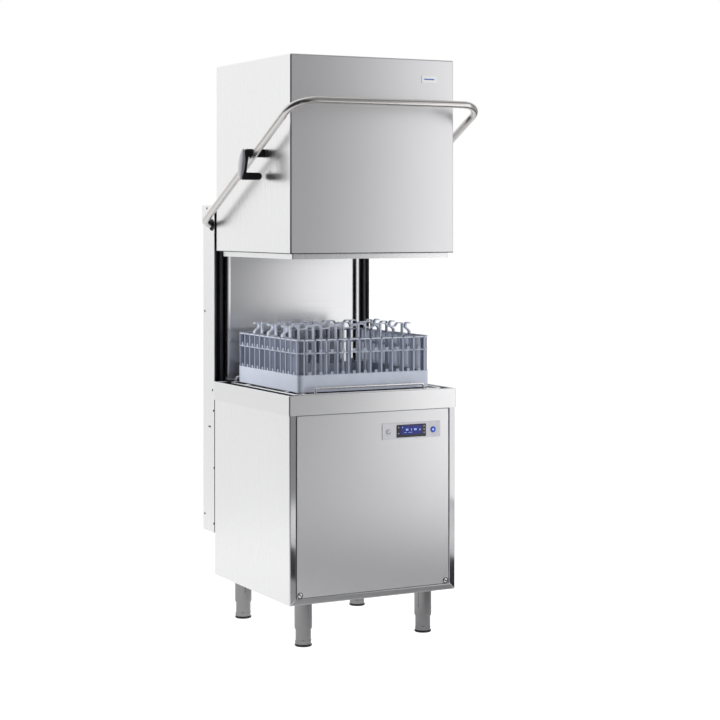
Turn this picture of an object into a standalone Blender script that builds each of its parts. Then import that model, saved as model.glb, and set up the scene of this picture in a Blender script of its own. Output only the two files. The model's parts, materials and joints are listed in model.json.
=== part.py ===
"""Hood-type glass washer: cabinet, rear column, lifting hood with a pull-down handle, and rack.

Frame: metres, +Z up, +X to the machine's right as seen from the front, front facing -Y.
The origin is the middle of the footprint, on the floor. Depths are measured from the cabinet's
front plane and turned into Y by deep().
"""
import math

import bmesh
import bpy
from mathutils import Matrix, Vector

# ---------------------------------------------------------------- driving dimensions
WIDTH = 0.635
HALF = WIDTH / 2
RIM_TOP = 0.850
RIM_BAND = 0.067
RIM_OVERHANG = 0.003
CABINET_BOTTOM = 0.153
CABINET_DEPTH = 0.627
SHEET = 0.0012
GAP = 0.0003

COLUMN_FRONT = 0.633
COLUMN_REAR = 0.735
COLUMN_BOTTOM = 0.301
COLUMN_TOP = 1.486
TAB_REAR = 0.748
TAB_BOTTOM = 1.413

HOOD_TOP = 1.986
HOOD_BOTTOM = 1.322
HOOD_INSET = 0.004
HOOD_FRONT = 0.003
HOOD_REAR = 0.625
LINER_INSET = 0.014
LINER_BOTTOM = 1.302
LINER_REAR = 0.590

TUBE_R = 0.0125
HANDLE_REACH = 0.1194
HANDLE_SIDE = 0.038
HANDLE_TOP = 1.8248
HANDLE_SLOPE = math.atan(0.529)
HANDLE_BEND = 0.079
HANDLE_END_BEND = 0.050
PIVOT_DEPTH = 0.656
PIVOT_Z = HANDLE_TOP - (PIVOT_DEPTH + HANDLE_REACH) * math.tan(HANDLE_SLOPE)

FOOT_X = HALF - 0.086
FOOT_DEPTHS = (0.0747, 0.5686)
RACK_BOTTOM = 0.8515
RACK_SIZE = 0.505
RACK_MIDDLE = 0.3175
WASH_AXIS = 0.305
TANK_TOP = 0.8257
FLANGE = 0.0235
FRONT_Y = -(TAB_REAR - HANDLE_REACH - TUBE_R) / 2

STEEL = (0.70, 0.70, 0.71)
DARK = (0.06, 0.06, 0.065)
BLUE_GREY = (0.33, 0.37, 0.46)
PEARL = (0.55, 0.55, 0.58)


def deep(depth):
    """Y of a plane that lies this far behind the cabinet's front plane."""
    return FRONT_Y + depth


# ---------------------------------------------------------------- scene and materials
def clear_scene():
    for old in list(bpy.data.objects):
        bpy.data.objects.remove(old, do_unlink=True)


def collection(name):
    made = bpy.data.collections.new(name)
    bpy.context.scene.collection.children.link(made)
    return made


clear_scene()
PARTS = collection("glass_washer")
CUTTERS = collection("cutters")


def finish_for(name, colour, roughness, metallic):
    material = bpy.data.materials.new(name + "_finish")
    material.use_nodes = True
    shader = material.node_tree.nodes["Principled BSDF"]
    shader.inputs["Base Color"].default_value = (*colour, 1.0)
    shader.inputs["Roughness"].default_value = roughness
    shader.inputs["Metallic"].default_value = metallic
    return material


def add_part(obj, name, colour=STEEL, roughness=0.35, metallic=1.0):
    """Name an object as a sub-part, give it its own material and file it with the parts."""
    for holder in list(obj.users_collection):
        holder.objects.unlink(obj)
    PARTS.objects.link(obj)
    obj.name = name
    obj.data.name = name
    obj.data.materials.clear()
    obj.data.materials.append(finish_for(name, colour, roughness, metallic))
    return obj


def steel(obj, name):
    return add_part(obj, name, STEEL, 0.32, 1.0)


def plastic(obj, name, colour=DARK):
    return add_part(obj, name, colour, 0.5, 0.0)


# ---------------------------------------------------------------- shape helpers
def mesh_object(name, build):
    """Run a bmesh build function into a new mesh object."""
    mesh = bpy.data.meshes.new(name)
    work = bmesh.new()
    build(work)
    bmesh.ops.recalc_face_normals(work, faces=work.faces)
    work.to_mesh(mesh)
    work.free()
    return bpy.data.objects.new(name, mesh)


def fill_box(work, low, high):
    size = [h - l for l, h in zip(low, high)]
    middle = [(h + l) / 2 for l, h in zip(low, high)]
    place = Matrix.Translation(middle) @ Matrix.Diagonal((*size, 1.0))
    return bmesh.ops.create_cube(work, size=1.0, matrix=place)


def box(low, high, name="box"):
    return mesh_object(name, lambda work: fill_box(work, low, high))


def open_box(low, high, open_sides, name="shell", draft=1.0):
    """A box of single faces with some sides left off; draft scales its lower end."""
    def build(work):
        fill_box(work, low, high)
        middle = Vector([(h + l) / 2 for l, h in zip(low, high)])
        gone = [face for face in work.faces for side in open_sides
                if face.normal.dot(Vector(side)) > 0.9]
        bmesh.ops.delete(work, geom=gone, context="FACES")
        for vert in work.verts:
            if vert.co.z < middle.z:
                vert.co.x = middle.x + (vert.co.x - middle.x) * draft
                vert.co.y = middle.y + (vert.co.y - middle.y) * draft
    return mesh_object(name, build)


def thicken(obj, thickness, offset=-1.0):
    """Solidify an open surface; offset -1 grows it inwards from its drawn face."""
    solid = obj.modifiers.new("sheet", "SOLIDIFY")
    solid.thickness = thickness
    solid.offset = offset
    solid.use_even_offset = True
    return obj


def folded(profile, axis, start, end, name="folded"):
    """A sheet drawn as an open profile, pushed along an axis from start to end."""
    def build(work):
        points = []
        for first, second in profile:
            place = [first, second]
            place.insert("xyz".index(axis), start)
            points.append(work.verts.new(place))
        edges = [work.edges.new(pair) for pair in zip(points, points[1:])]
        pushed = bmesh.ops.extrude_edge_only(work, edges=edges)["geom"]
        step = [0.0, 0.0, 0.0]
        step["xyz".index(axis)] = end - start
        moved = [item for item in pushed if isinstance(item, bmesh.types.BMVert)]
        bmesh.ops.translate(work, verts=moved, vec=step)
    return mesh_object(name, build)


def turned(profile, place, axis="z", steps=16, name="turned"):
    """A solid of revolution: profile is (radius, height) pairs, top to bottom on the outside.

    A profile that starts on the axis also ends on it and stays open there; any other is a ring.
    """
    edges = [(i, i + 1) for i in range(len(profile) - 1)]
    if profile[0][0] > 0.0:
        edges.append((len(profile) - 1, 0))
    mesh = bpy.data.meshes.new(name)
    mesh.from_pydata([(radius, 0.0, height) for radius, height in profile], edges, [])
    obj = bpy.data.objects.new(name, mesh)
    screw = obj.modifiers.new("turn", "SCREW")
    screw.steps = steps
    screw.render_steps = steps
    screw.use_merge_vertices = True
    screw.merge_threshold = 0.00005
    spins = {"z": Matrix(), "x": Matrix.Rotation(math.pi / 2, 4, "Y"),
             "y": Matrix.Rotation(-math.pi / 2, 4, "X")}
    obj.matrix_world = Matrix.Translation(place) @ spins[axis]
    return obj


def rod(radius, place, length, axis="z", steps=20, name="rod"):
    """A cylinder from place along +axis."""
    def build(work):
        shift = Matrix.Translation((0, 0, length / 2))
        bmesh.ops.create_cone(work, cap_ends=True, segments=steps, radius1=radius,
                              radius2=radius, depth=length, matrix=shift)
    obj = mesh_object(name, build)
    spins = {"z": Matrix(), "x": Matrix.Rotation(math.pi / 2, 4, "Y"),
             "y": Matrix.Rotation(-math.pi / 2, 4, "X")}
    obj.data.transform(Matrix.Translation(place) @ spins[axis])
    return obj


def tube_curve(points, radius, resolution=2, closed=False, name="tube", caps=True):
    """A round bar along a polyline, turned into a mesh with welded ends."""
    curve = bpy.data.curves.new(name, "CURVE")
    curve.dimensions = "3D"
    curve.bevel_depth = radius
    curve.bevel_resolution = resolution
    curve.use_fill_caps = caps
    spline = curve.splines.new("POLY")
    spline.points.add(len(points) - 1)
    for spot, point in zip(spline.points, points):
        spot.co = (*point, 1.0)
    spline.use_cyclic_u = closed
    return as_mesh(bpy.data.objects.new(name, curve), name)


def as_mesh(obj, name):
    """Replace a curve object by the welded mesh it draws."""
    bpy.context.scene.collection.objects.link(obj)
    bpy.context.view_layer.update()
    mesh = bpy.data.meshes.new_from_object(obj.evaluated_get(
        bpy.context.evaluated_depsgraph_get()))
    work = bmesh.new()
    work.from_mesh(mesh)
    bmesh.ops.remove_doubles(work, verts=work.verts, dist=0.00002)
    bmesh.ops.recalc_face_normals(work, faces=work.faces)
    work.to_mesh(mesh)
    work.free()
    made = bpy.data.objects.new(name, mesh)
    made.matrix_world = obj.matrix_world
    bpy.data.objects.remove(obj, do_unlink=True)
    return made


def plate(outline, thickness, place, normal="x", holes=(), name="plate"):
    """A flat outline with thickness; the outline lies in the two axes after the normal."""
    curve = bpy.data.curves.new(name, "CURVE")
    curve.dimensions = "2D"
    curve.fill_mode = "BOTH"
    curve.extrude = thickness / 2
    for ring in (outline, *holes):
        spline = curve.splines.new("POLY")
        spline.points.add(len(ring) - 1)
        for spot, point in zip(spline.points, ring):
            spot.co = (*point, 0.0, 1.0)
        spline.use_cyclic_u = True
    obj = as_mesh(bpy.data.objects.new(name, curve), name)
    turns = {"x": Matrix(((0, 0, 1, 0), (1, 0, 0, 0), (0, 1, 0, 0), (0, 0, 0, 1))),
             "y": Matrix(((1, 0, 0, 0), (0, 0, -1, 0), (0, 1, 0, 0), (0, 0, 0, 1))),
             "z": Matrix()}
    obj.data.transform(Matrix.Translation(place) @ turns[normal])
    return obj


def circle(centre, radius, count=20):
    return [(centre[0] + radius * math.cos(2 * math.pi * i / count),
             centre[1] + radius * math.sin(2 * math.pi * i / count)) for i in range(count)]


def boolean(obj, cutters, operation="DIFFERENCE"):
    for cutter in cutters:
        CUTTERS.objects.link(cutter)
        cutter.hide_render = True
        cutter.display_type = "WIRE"
        change = obj.modifiers.new(operation.lower(), "BOOLEAN")
        change.operation = operation
        change.object = cutter
        change.solver = "EXACT"
    return obj


def joined(pieces):
    """One body out of several overlapping ones: the first, with the rest united to it."""
    return boolean(pieces[0], pieces[1:], "UNION")


def bevelled(obj, width, segments=2):
    bevel = obj.modifiers.new("edge", "BEVEL")
    bevel.width = width
    bevel.segments = segments
    bevel.limit_method = "ANGLE"
    return obj


def arc(centre, radius, start, end, count):
    """Points (a, b) of an arc about centre, angles in degrees."""
    spots = []
    for i in range(count + 1):
        angle = math.radians(start + (end - start) * i / count)
        spots.append((centre[0] + radius * math.cos(angle), centre[1] + radius * math.sin(angle)))
    return spots


def sides():
    """The two hands of a mirrored pair: name ending and sign of X."""
    return (("left", -1), ("right", 1))


def between(sign, near, far):
    """X limits, low first, of a stretch given by its distances from the middle plane."""
    return sorted((sign * near, sign * far))


# ---------------------------------------------------------------- cabinet
def make_base_tray():
    tray = open_box((-HALF + 0.0018, deep(0.0018), CABINET_BOTTOM + GAP),
                    (HALF - 0.0018, deep(CABINET_DEPTH - 0.0018), 0.1745), [(0, 0, 1)])
    steel(thicken(tray, 0.0015), "base_tray")


def make_side_panels():
    """Outer sheets: the side wall with a front flange turned in, mitred at its foot."""
    for hand, sign in sides():
        rim_bottom = RIM_TOP - RIM_BAND - GAP
        profile = [(sign * (HALF - SHEET / 2), deep(CABINET_DEPTH)),
                   (sign * (HALF - SHEET / 2), deep(SHEET / 2)),
                   (sign * (HALF - FLANGE), deep(SHEET / 2))]
        wall = folded(profile, "z", CABINET_BOTTOM, rim_bottom)
        thicken(wall, SHEET, 0.0)
        mitre = [(0.0, 0.0), (-sign * FLANGE * 2, 0.0), (-sign * FLANGE * 2, FLANGE * 2)]
        corner = plate(mitre, 0.010, (sign * (HALF - GAP), deep(0.0), CABINET_BOTTOM - GAP), "y")
        steel(boolean(wall, [corner]), "side_panel_" + hand)


def make_front_bottom_rail():
    """Bottom flange of the cabinet front, its ends mitred into the side flanges."""
    half = HALF - 0.0022
    rise = FLANGE - 0.0025
    outline = [(-half, 0.0), (half, 0.0), (half - rise, rise), (-half + rise, rise)]
    rail = plate(outline, SHEET, (0, deep(SHEET / 2), CABINET_BOTTOM), "y")
    steel(rail, "front_bottom_rail")


PANEL_HALF = HALF - FLANGE - 0.0005
PANEL_LOW = 0.1752
PANEL_HIGH = 0.7820
STRIP_X = (0.0297, 0.2574)
STRIP_Z = (0.6855, 0.7405)
LOCK_X = 0.2793
LOCK_Z = 0.1855
POWER_AT = (0.0539, 0.7105)
START_AT = (0.2283, 0.7110)
DISPLAY_X = (0.0842, 0.2005)
DISPLAY_Z = (0.6896, 0.7335)


def make_front_panel():
    """Removable service panel: a pan with a window for the controls and two lock holes."""
    panel = open_box((-PANEL_HALF, deep(0.0), PANEL_LOW), (PANEL_HALF, deep(0.018), PANEL_HIGH),
                     [(0, 1, 0)])
    thicken(panel, SHEET)
    inset = 0.0030
    window = box((STRIP_X[0] + inset, deep(-0.01), STRIP_Z[0] + inset),
                 (STRIP_X[1] - inset, deep(0.01), STRIP_Z[1] - inset))
    holes = [rod(0.0045, (side * LOCK_X, deep(-0.01), LOCK_Z), 0.02, "y", 12) for side in (-1, 1)]
    steel(boolean(panel, [window, *holes]), "front_panel")


def make_panel_locks():
    for hand, sign in sides():
        head = turned([(0.0, 0.0185), (0.0040, 0.0185), (0.0040, -GAP), (0.0078, -GAP),
                       (0.0078, -0.0022), (0.0, -0.0022)], (0, 0, 0), "z", 16)
        head.matrix_world = Matrix.Translation((sign * LOCK_X, deep(0.0), LOCK_Z)) @ \
            Matrix.Rotation(-math.pi / 2, 4, "X")
        slot = box((sign * LOCK_X - 0.0045, deep(-0.005), LOCK_Z - 0.0008),
                   (sign * LOCK_X + 0.0045, deep(-0.0012), LOCK_Z + 0.0008))
        steel(boolean(head, [slot]), "panel_lock_" + hand)


def make_rim():
    """Band round the cabinet top with a rolled-in top flange and a drop into the tank."""
    top_flange = 0.014
    drop = 0.0235

    def build(work):
        low = (-HALF - RIM_OVERHANG, deep(-RIM_OVERHANG), RIM_TOP - RIM_BAND)
        high = (HALF + RIM_OVERHANG, deep(0.630), RIM_TOP)
        fill_box(work, low, high)
        bottom = [face for face in work.faces if face.normal.z < -0.9]
        bmesh.ops.delete(work, geom=bottom, context="FACES")
        top = [face for face in work.faces if face.normal.z > 0.9]
        bmesh.ops.inset_individual(work, faces=top, thickness=top_flange)
        well = bmesh.ops.extrude_face_region(work, geom=top)["geom"]
        corners = [item for item in well if isinstance(item, bmesh.types.BMVert)]
        floor = [item for item in well if isinstance(item, bmesh.types.BMFace)]
        bmesh.ops.translate(work, verts=corners, vec=(0, 0, -drop))
        bmesh.ops.delete(work, geom=floor + top, context="FACES_ONLY")
    rim = mesh_object("rim", build)
    steel(thicken(rim, 0.0015), "rim_frame")


def make_tank():
    tank = open_box((-0.295, deep(0.022), 0.620), (0.295, deep(0.600), TANK_TOP), [(0, 0, 1)],
                    draft=0.6)
    thicken(tank, 0.0015)
    drain = rod(0.045, (0, deep(0.311), 0.60), 0.05, "z", 16)
    boolean(tank, [drain])
    sump = turned([(0.0, 0.5470), (0.0600, 0.5470), (0.0600, 0.6207), (0.0620, 0.6207),
                   (0.0620, 0.5450), (0.0, 0.5450)], (0, deep(0.311), 0))
    steel(boolean(tank, [sump], "UNION"), "wash_tank")


def make_strainers():
    slab = box((-0.262, deep(0.056), 0.7900), (0.262, deep(0.566), 0.7925))
    well = rod(0.056, (0, deep(0.311), 0.78), 0.03, "z", 16)
    slots = []
    for row in (-2, -1, 1, 2):
        for column in (-2, -1, 1, 2):
            x = column * 0.095
            y = deep(0.311 + row * 0.085)
            slots.append(box((x - 0.030, y - 0.004, 0.785), (x + 0.030, y + 0.004, 0.797)))
    steel(boolean(slab, [well, *slots]), "tank_strainer")
    basket = turned([(0.0440, 0.7860), (0.0440, 0.6240), (0.0400, 0.6240), (0.0400, 0.7860)],
                    (0, deep(0.311), 0))
    plastic(basket, "sump_filter", BLUE_GREY)


# ---------------------------------------------------------------- spray system
ARM_REACH = 0.235


def make_arm(name, low, high, width, hub, bore, jets_up):
    """A spinning spray arm: a flat bar with round ends, a hub and a row of jet holes."""
    straight = ARM_REACH - width / 2
    outline = arc((straight, 0), width / 2, -90, 90, 6) + arc((-straight, 0), width / 2, 90, 270, 6)
    bar = plate(outline, high - low, (0, deep(WASH_AXIS), (low + high) / 2), "z")
    collar = rod(hub, (0, deep(WASH_AXIS), low), high - low, "z", 16)
    hole = rod(bore, (0, deep(WASH_AXIS), low - 0.01), high - low + 0.02, "z", 20)
    joined([bar, collar])
    face = high if jets_up else low
    jets = [rod(0.0025, (side * spot, deep(WASH_AXIS), face - 0.003), 0.006, "z", 6)
            for side in (-1, 1) for spot in (0.09, 0.15, 0.21)]
    steel(boolean(bar, [hole, *jets]), name)


def make_spray_system():
    spin = (0, deep(WASH_AXIS), 0)
    make_arm("lower_wash_arm", 0.8030, 0.8180, 0.036, 0.026, 0.0088, True)
    make_arm("lower_rinse_arm", 0.8220, 0.8310, 0.018, 0.017, 0.0068, True)
    post = turned([(0.0, 0.8380), (0.0100, 0.8380), (0.0100, 0.8330), (0.0060, 0.8330),
                   (0.0060, 0.8200), (0.0082, 0.8200), (0.0082, 0.8010), (0.0140, 0.8010),
                   (0.0140, 0.6600), (0.0, 0.6600)], spin)
    steel(post, "lower_spindle")
    make_arm("upper_wash_arm", 1.3220, 1.3370, 0.036, 0.026, 0.0088, False)
    make_arm("upper_rinse_arm", 1.3090, 1.3180, 0.018, 0.017, 0.0068, False)
    hanger = turned([(0.0, 1.3700), (0.0140, 1.3700), (0.0140, 1.3390), (0.0082, 1.3390),
                     (0.0082, 1.3200), (0.0060, 1.3200), (0.0060, 1.3070), (0.0100, 1.3070),
                     (0.0100, 1.3030), (0.0, 1.3030)], spin)
    make_feed_pipe(hanger)


PIPE_R = 0.016
PIPE_TOP = 1.375
RISER_DEPTH = 0.690


def make_feed_pipe(hanger):
    """Riser in the column, forward through the back panel, down into the upper arms' hanger."""
    bend = 0.035
    route = [(0.585, 0.420)]
    route += arc((RISER_DEPTH - bend, 0.420 + bend), bend, -90, 0, 5)
    route += arc((RISER_DEPTH - bend, PIPE_TOP - bend), bend, 0, 90, 5)
    route += [(WASH_AXIS - 0.020, PIPE_TOP)]
    pipe = tube_curve([(0, deep(depth), z) for depth, z in route], PIPE_R, 2, name="feed_pipe")
    steel(boolean(pipe, [hanger], "UNION"), "upper_feed_pipe")


# ---------------------------------------------------------------- machinery in the cabinet
MACHINE_FLOOR = 0.1852
VENT_R = 0.0030


def vessel(radius, low, high, wall, corner):
    """Profile of a closed round tank with chamfered ends and a small vent at each end."""
    inside = radius - wall
    return [(VENT_R, high), (radius - corner, high), (radius, high - corner), (radius, low + corner),
            (radius - corner, low), (VENT_R, low), (VENT_R, low + wall),
            (inside - corner, low + wall), (inside, low + wall + corner),
            (inside, high - wall - corner), (inside - corner, high - wall), (VENT_R, high - wall)]


def make_pump():
    """Wash pump: motor, volute, outlet and intake on a narrow stand, hollow behind its vent."""
    height = 0.420
    volute = rod(0.085, (0, deep(0.500), height), 0.050, "y", 16)
    motor = rod(0.060, (0, deep(0.300), height), 0.201, "y", 16)
    outlet = rod(0.022, (0, deep(0.549), height), 0.0352, "y", 16)
    intake = rod(0.024, (0, deep(0.525), 0.48), 0.060, "z", 16)
    stand = box((-0.006, deep(0.340), MACHINE_FLOOR), (0.006, deep(0.470), 0.370))
    pump = joined([volute, motor, outlet, intake, stand])
    inner = rod(0.048, (0, deep(0.312), height), 0.200, "y", 16)
    inner_volute = rod(0.075, (0, deep(0.511), height), 0.030, "y", 16)
    vent = rod(VENT_R, (0, deep(0.290), height), 0.030, "y", 8)
    boolean(pump, [inner, inner_volute, vent])
    add_part(pump, "wash_pump", (0.12, 0.13, 0.15), 0.5, 0.0)


def make_control_box():
    """Control box: a closed case with one cable hole through its rear wall."""
    low = Vector((0.110, deep(0.060), 0.320))
    high = Vector((0.290, deep(0.200), 0.540))
    wall = Vector((0.002, 0.002, 0.002))
    case = bevelled(box(low, high), 0.004)
    inner = box(low + wall, high - wall)
    cable_hole = rod(VENT_R, (0.200, deep(0.190), 0.360), 0.020, "y", 8)
    plastic(boolean(case, [inner, cable_hole]), "control_box", (0.30, 0.32, 0.35))


def make_machinery():
    make_pump()
    make_control_box()
    boiler = turned(vessel(0.080, MACHINE_FLOOR, 0.5652, 0.0015, 0.012),
                    (-0.205, deep(0.420), 0), steps=20)
    steel(boiler, "rinse_boiler")

    loop = arc((0.090, 0.120), 0.022, -90, 90, 6)
    legs = [(-0.090, 0.098)] + loop + [(-0.090, 0.142)]
    heater = tube_curve([(x, deep(0.30 + y), 0.672) for x, y in legs], 0.0042, 2)
    steel(heater, "tank_heater")

    drain = rod(0.038, (0.10, deep(0.17), MACHINE_FLOOR), 0.095, "z", 20)
    spout = rod(0.014, (0.10, deep(0.17), 0.225), 0.070, "y", 14)
    plastic(joined([drain, spout]), "drain_pump")

    valve = box((0.225, deep(0.560), 0.220), (0.265, deep(0.600), 0.280))
    stub = rod(0.013, (0.245, deep(0.580), 0.279), 0.040, "z", 14)
    plastic(joined([valve, stub]), "inlet_valve", (0.75, 0.75, 0.78))

    gland = turned([(0.0, 0.0120), (0.0090, 0.0120), (0.0090, 0.0070), (0.0140, 0.0070),
                    (0.0140, GAP), (0.0, GAP)], (0, 0, 0), "z", 12)
    gland.matrix_world = Matrix.Translation((0.230, deep(COLUMN_REAR), 0.380)) @ \
        Matrix.Rotation(-math.pi / 2, 4, "X")
    plastic(gland, "mains_gland")


# ---------------------------------------------------------------- controls
def make_controls():
    strip = box((STRIP_X[0], deep(-0.0022), STRIP_Z[0]), (STRIP_X[1], deep(-GAP), STRIP_Z[1]))
    back = box((STRIP_X[0] + 0.0034, deep(-0.0010), STRIP_Z[0] + 0.0034),
               (STRIP_X[1] - 0.0034, deep(0.0150), STRIP_Z[1] - 0.0034))
    joined([strip, back])
    window = box((DISPLAY_X[0], deep(-0.01), DISPLAY_Z[0]), (DISPLAY_X[1], deep(0.0100), DISPLAY_Z[1]))
    wells = [rod(0.0086, (x, deep(-0.01), z), 0.0220, "y", 20) for x, z in (POWER_AT, START_AT)]
    plastic(boolean(strip, [window, *wells]), "control_strip", PEARL)
    screen = box((DISPLAY_X[0] + GAP, deep(-0.0030), DISPLAY_Z[0] + GAP),
                 (DISPLAY_X[1] - GAP, deep(0.0097), DISPLAY_Z[1] - GAP))
    add_part(bevelled(screen, 0.0008, 1), "display_window", (0.01, 0.01, 0.03), 0.15, 0.0)
    for name, (x, z), colour in (("power_button", POWER_AT, PEARL),
                                 ("start_button", START_AT, (0.03, 0.12, 0.65))):
        cap = rod(0.0081, (x, deep(-0.0038), z), 0.0120, "y", 16)
        add_part(bevelled(cap, 0.0007, 2), name, colour, 0.4, 0.0)


# ---------------------------------------------------------------- column
RAIL_NEAR = HALF - 0.0445
RAIL_FAR = HALF - 0.0018
RAIL_FRONT = 0.650
RAIL_REAR = 0.680
RAIL_TOP = 1.380
GROOVE_X = 0.2945
SPRING_X = HALF - 0.0400
LEVER_REACH = 0.055
LEVER_REST = math.radians(30)
SPRING_DEPTH = PIVOT_DEPTH + LEVER_REACH * math.cos(LEVER_REST)
SPRING_TOP = PIVOT_Z - LEVER_REACH * math.sin(LEVER_REST)
ANCHOR_Z = 1.060


def make_column_plates():
    """Side plates of the column, with the rear tab at the top and the handle's bearing hole."""
    for hand, sign in sides():
        outline = [(deep(COLUMN_FRONT), COLUMN_BOTTOM), (deep(COLUMN_REAR), COLUMN_BOTTOM),
                   (deep(COLUMN_REAR), TAB_BOTTOM), (deep(TAB_REAR), TAB_BOTTOM + 0.010),
                   (deep(TAB_REAR), COLUMN_TOP), (deep(COLUMN_FRONT), COLUMN_TOP)]
        hole = circle((deep(PIVOT_DEPTH), PIVOT_Z), 0.0188)
        wall = plate(outline, 0.0015, (sign * (HALF - 0.00075), 0, 0), "x", [hole])
        steel(wall, "column_plate_" + hand)


def make_column_cover():
    """Rear sheet: up the cabinet's back, out under the column, up its rear and over its top."""
    half_sheet = SHEET / 2
    cabinet_back = deep(CABINET_DEPTH - 0.0008)
    column_back = deep(COLUMN_REAR - half_sheet)
    ledge = COLUMN_BOTTOM + half_sheet
    top = COLUMN_TOP - half_sheet
    profile = [(cabinet_back, 0.1765), (cabinet_back, ledge), (column_back, ledge),
               (column_back, top), (deep(COLUMN_FRONT + 0.001), top)]
    cover = folded(profile, "x", -HALF + 0.0018, HALF - 0.0018)
    steel(thicken(cover, SHEET, 0.0), "column_cover")


def make_back_panel():
    """Splash wall behind the wash space, with a lip that drips into the tank."""
    edge = RAIL_NEAR - 0.0035
    profile = [(deep(0.602), RIM_TOP + 0.0025), (deep(0.640), RIM_TOP + 0.0025),
               (deep(0.640), COLUMN_TOP - 0.003)]
    wall = folded(profile, "x", -edge, edge)
    thicken(wall, SHEET, 0.0)
    hole = rod(PIPE_R + 0.0006, (0, deep(0.62), PIPE_TOP), 0.04, "y", 16)
    steel(boolean(wall, [hole]), "back_panel")


def make_rails():
    for hand, sign in sides():
        low_x, high_x = between(sign, RAIL_NEAR, RAIL_FAR)
        rail = box((low_x, deep(RAIL_FRONT), 0.700), (high_x, deep(RAIL_REAR), RAIL_TOP))
        groove = box((sign * GROOVE_X - 0.006, deep(RAIL_FRONT - 0.01), 0.69),
                     (sign * GROOVE_X + 0.006, deep(RAIL_FRONT + 0.018), RAIL_TOP + 0.01))
        plastic(boolean(rail, [groove]), "guide_rail_" + hand)


def make_bearings():
    """Flanged cups in the column plates: a wide mouth for the bent tube, then the bore."""
    bore = TUBE_R + 0.0004
    for hand, sign in sides():
        cup = turned([(0.0215, 0.0022), (0.0215, GAP), (0.0184, GAP), (0.0184, -0.0365),
                      (bore, -0.0365), (bore, -0.0240), (0.0168, -0.0200), (0.0168, 0.0022)],
                     (0, 0, 0), "z", 16)
        turn = Matrix.Rotation(sign * math.pi / 2, 4, "Y")
        cup.matrix_world = Matrix.Translation((sign * HALF, deep(PIVOT_DEPTH), PIVOT_Z)) @ turn
        plastic(cup, "handle_bearing_" + hand)


def spring_route():
    """Centre line of one counterbalance spring, hook to hook, about its own axis."""
    radius = 0.0085
    turns = 7
    per_turn = 6
    low = ANCHOR_Z + 0.035
    high = SPRING_TOP - 0.035
    points = [(0.006 * math.cos(math.radians(a)), 0.0, ANCHOR_Z + 0.006 * (1 + math.sin(
        math.radians(a)))) for a in (-160, -90, -20, 50)]
    for i in range(turns * per_turn + 1):
        angle = 2 * math.pi * i / per_turn
        points.append((radius * math.cos(angle), radius * math.sin(angle),
                       low + (high - low) * i / (turns * per_turn)))
    points += [(0.006 * math.cos(math.radians(a)), 0.0, SPRING_TOP - 0.006 * (1 + math.sin(
        math.radians(a)))) for a in (50, -20, -90, -160)]
    return points


def make_springs():
    for hand, sign in sides():
        points = [(sign * SPRING_X + x, deep(SPRING_DEPTH) + y, z) for x, y, z in spring_route()]
        spring = tube_curve(points, 0.0012, 1, name="spring")
        steel(spring, "lift_spring_" + hand)
    bar = box((-HALF + 0.0018, deep(0.7290), ANCHOR_Z - 0.015),
              (HALF - 0.0018, deep(0.7330), ANCHOR_Z + 0.015))
    ears = []
    holes = []
    for sign in (-1, 1):
        ears.append(box((sign * SPRING_X - 0.0015, deep(0.6950), ANCHOR_Z - 0.010),
                        (sign * SPRING_X + 0.0015, deep(0.7300), ANCHOR_Z + 0.010)))
        holes.append(rod(0.0040, (sign * SPRING_X - 0.01, deep(SPRING_DEPTH), ANCHOR_Z), 0.02,
                         "x", 12))
    joined([bar, *ears])
    steel(boolean(bar, holes), "spring_anchor")


# ---------------------------------------------------------------- hood
HOOD_HALF = HALF - HOOD_INSET


def make_hood():
    """Outer skin: top and three sides, rear flanges and a rear strip below the top."""
    shell = open_box((-HOOD_HALF, deep(HOOD_FRONT), HOOD_BOTTOM),
                     (HOOD_HALF, deep(HOOD_REAR), HOOD_TOP), [(0, 0, -1)])
    thicken(shell, SHEET)
    doorway = box((-HOOD_HALF + 0.036, deep(0.60), 1.20), (HOOD_HALF - 0.036, deep(0.65), 1.875))
    steel(boolean(shell, [doorway]), "hood_shell")
    liner_half = HOOD_HALF - LINER_INSET
    liner = open_box((-liner_half, deep(HOOD_FRONT + LINER_INSET), LINER_BOTTOM),
                     (liner_half, deep(LINER_REAR), HOOD_TOP - 0.020), [(0, 0, -1), (0, 1, 0)])
    steel(thicken(liner, 0.0010), "hood_liner")
    for hand, sign in sides():
        shoe = box((sign * GROOVE_X - 0.005, deep(HOOD_REAR + GAP), 1.325),
                   (sign * GROOVE_X + 0.005, deep(RAIL_FRONT + 0.0145), 1.375))
        plastic(bevelled(shoe, 0.0015, 2), "hood_shoe_" + hand, (0.75, 0.75, 0.72))


LINK_FRONT = 0.204
LINK_REAR = 0.248


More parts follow.
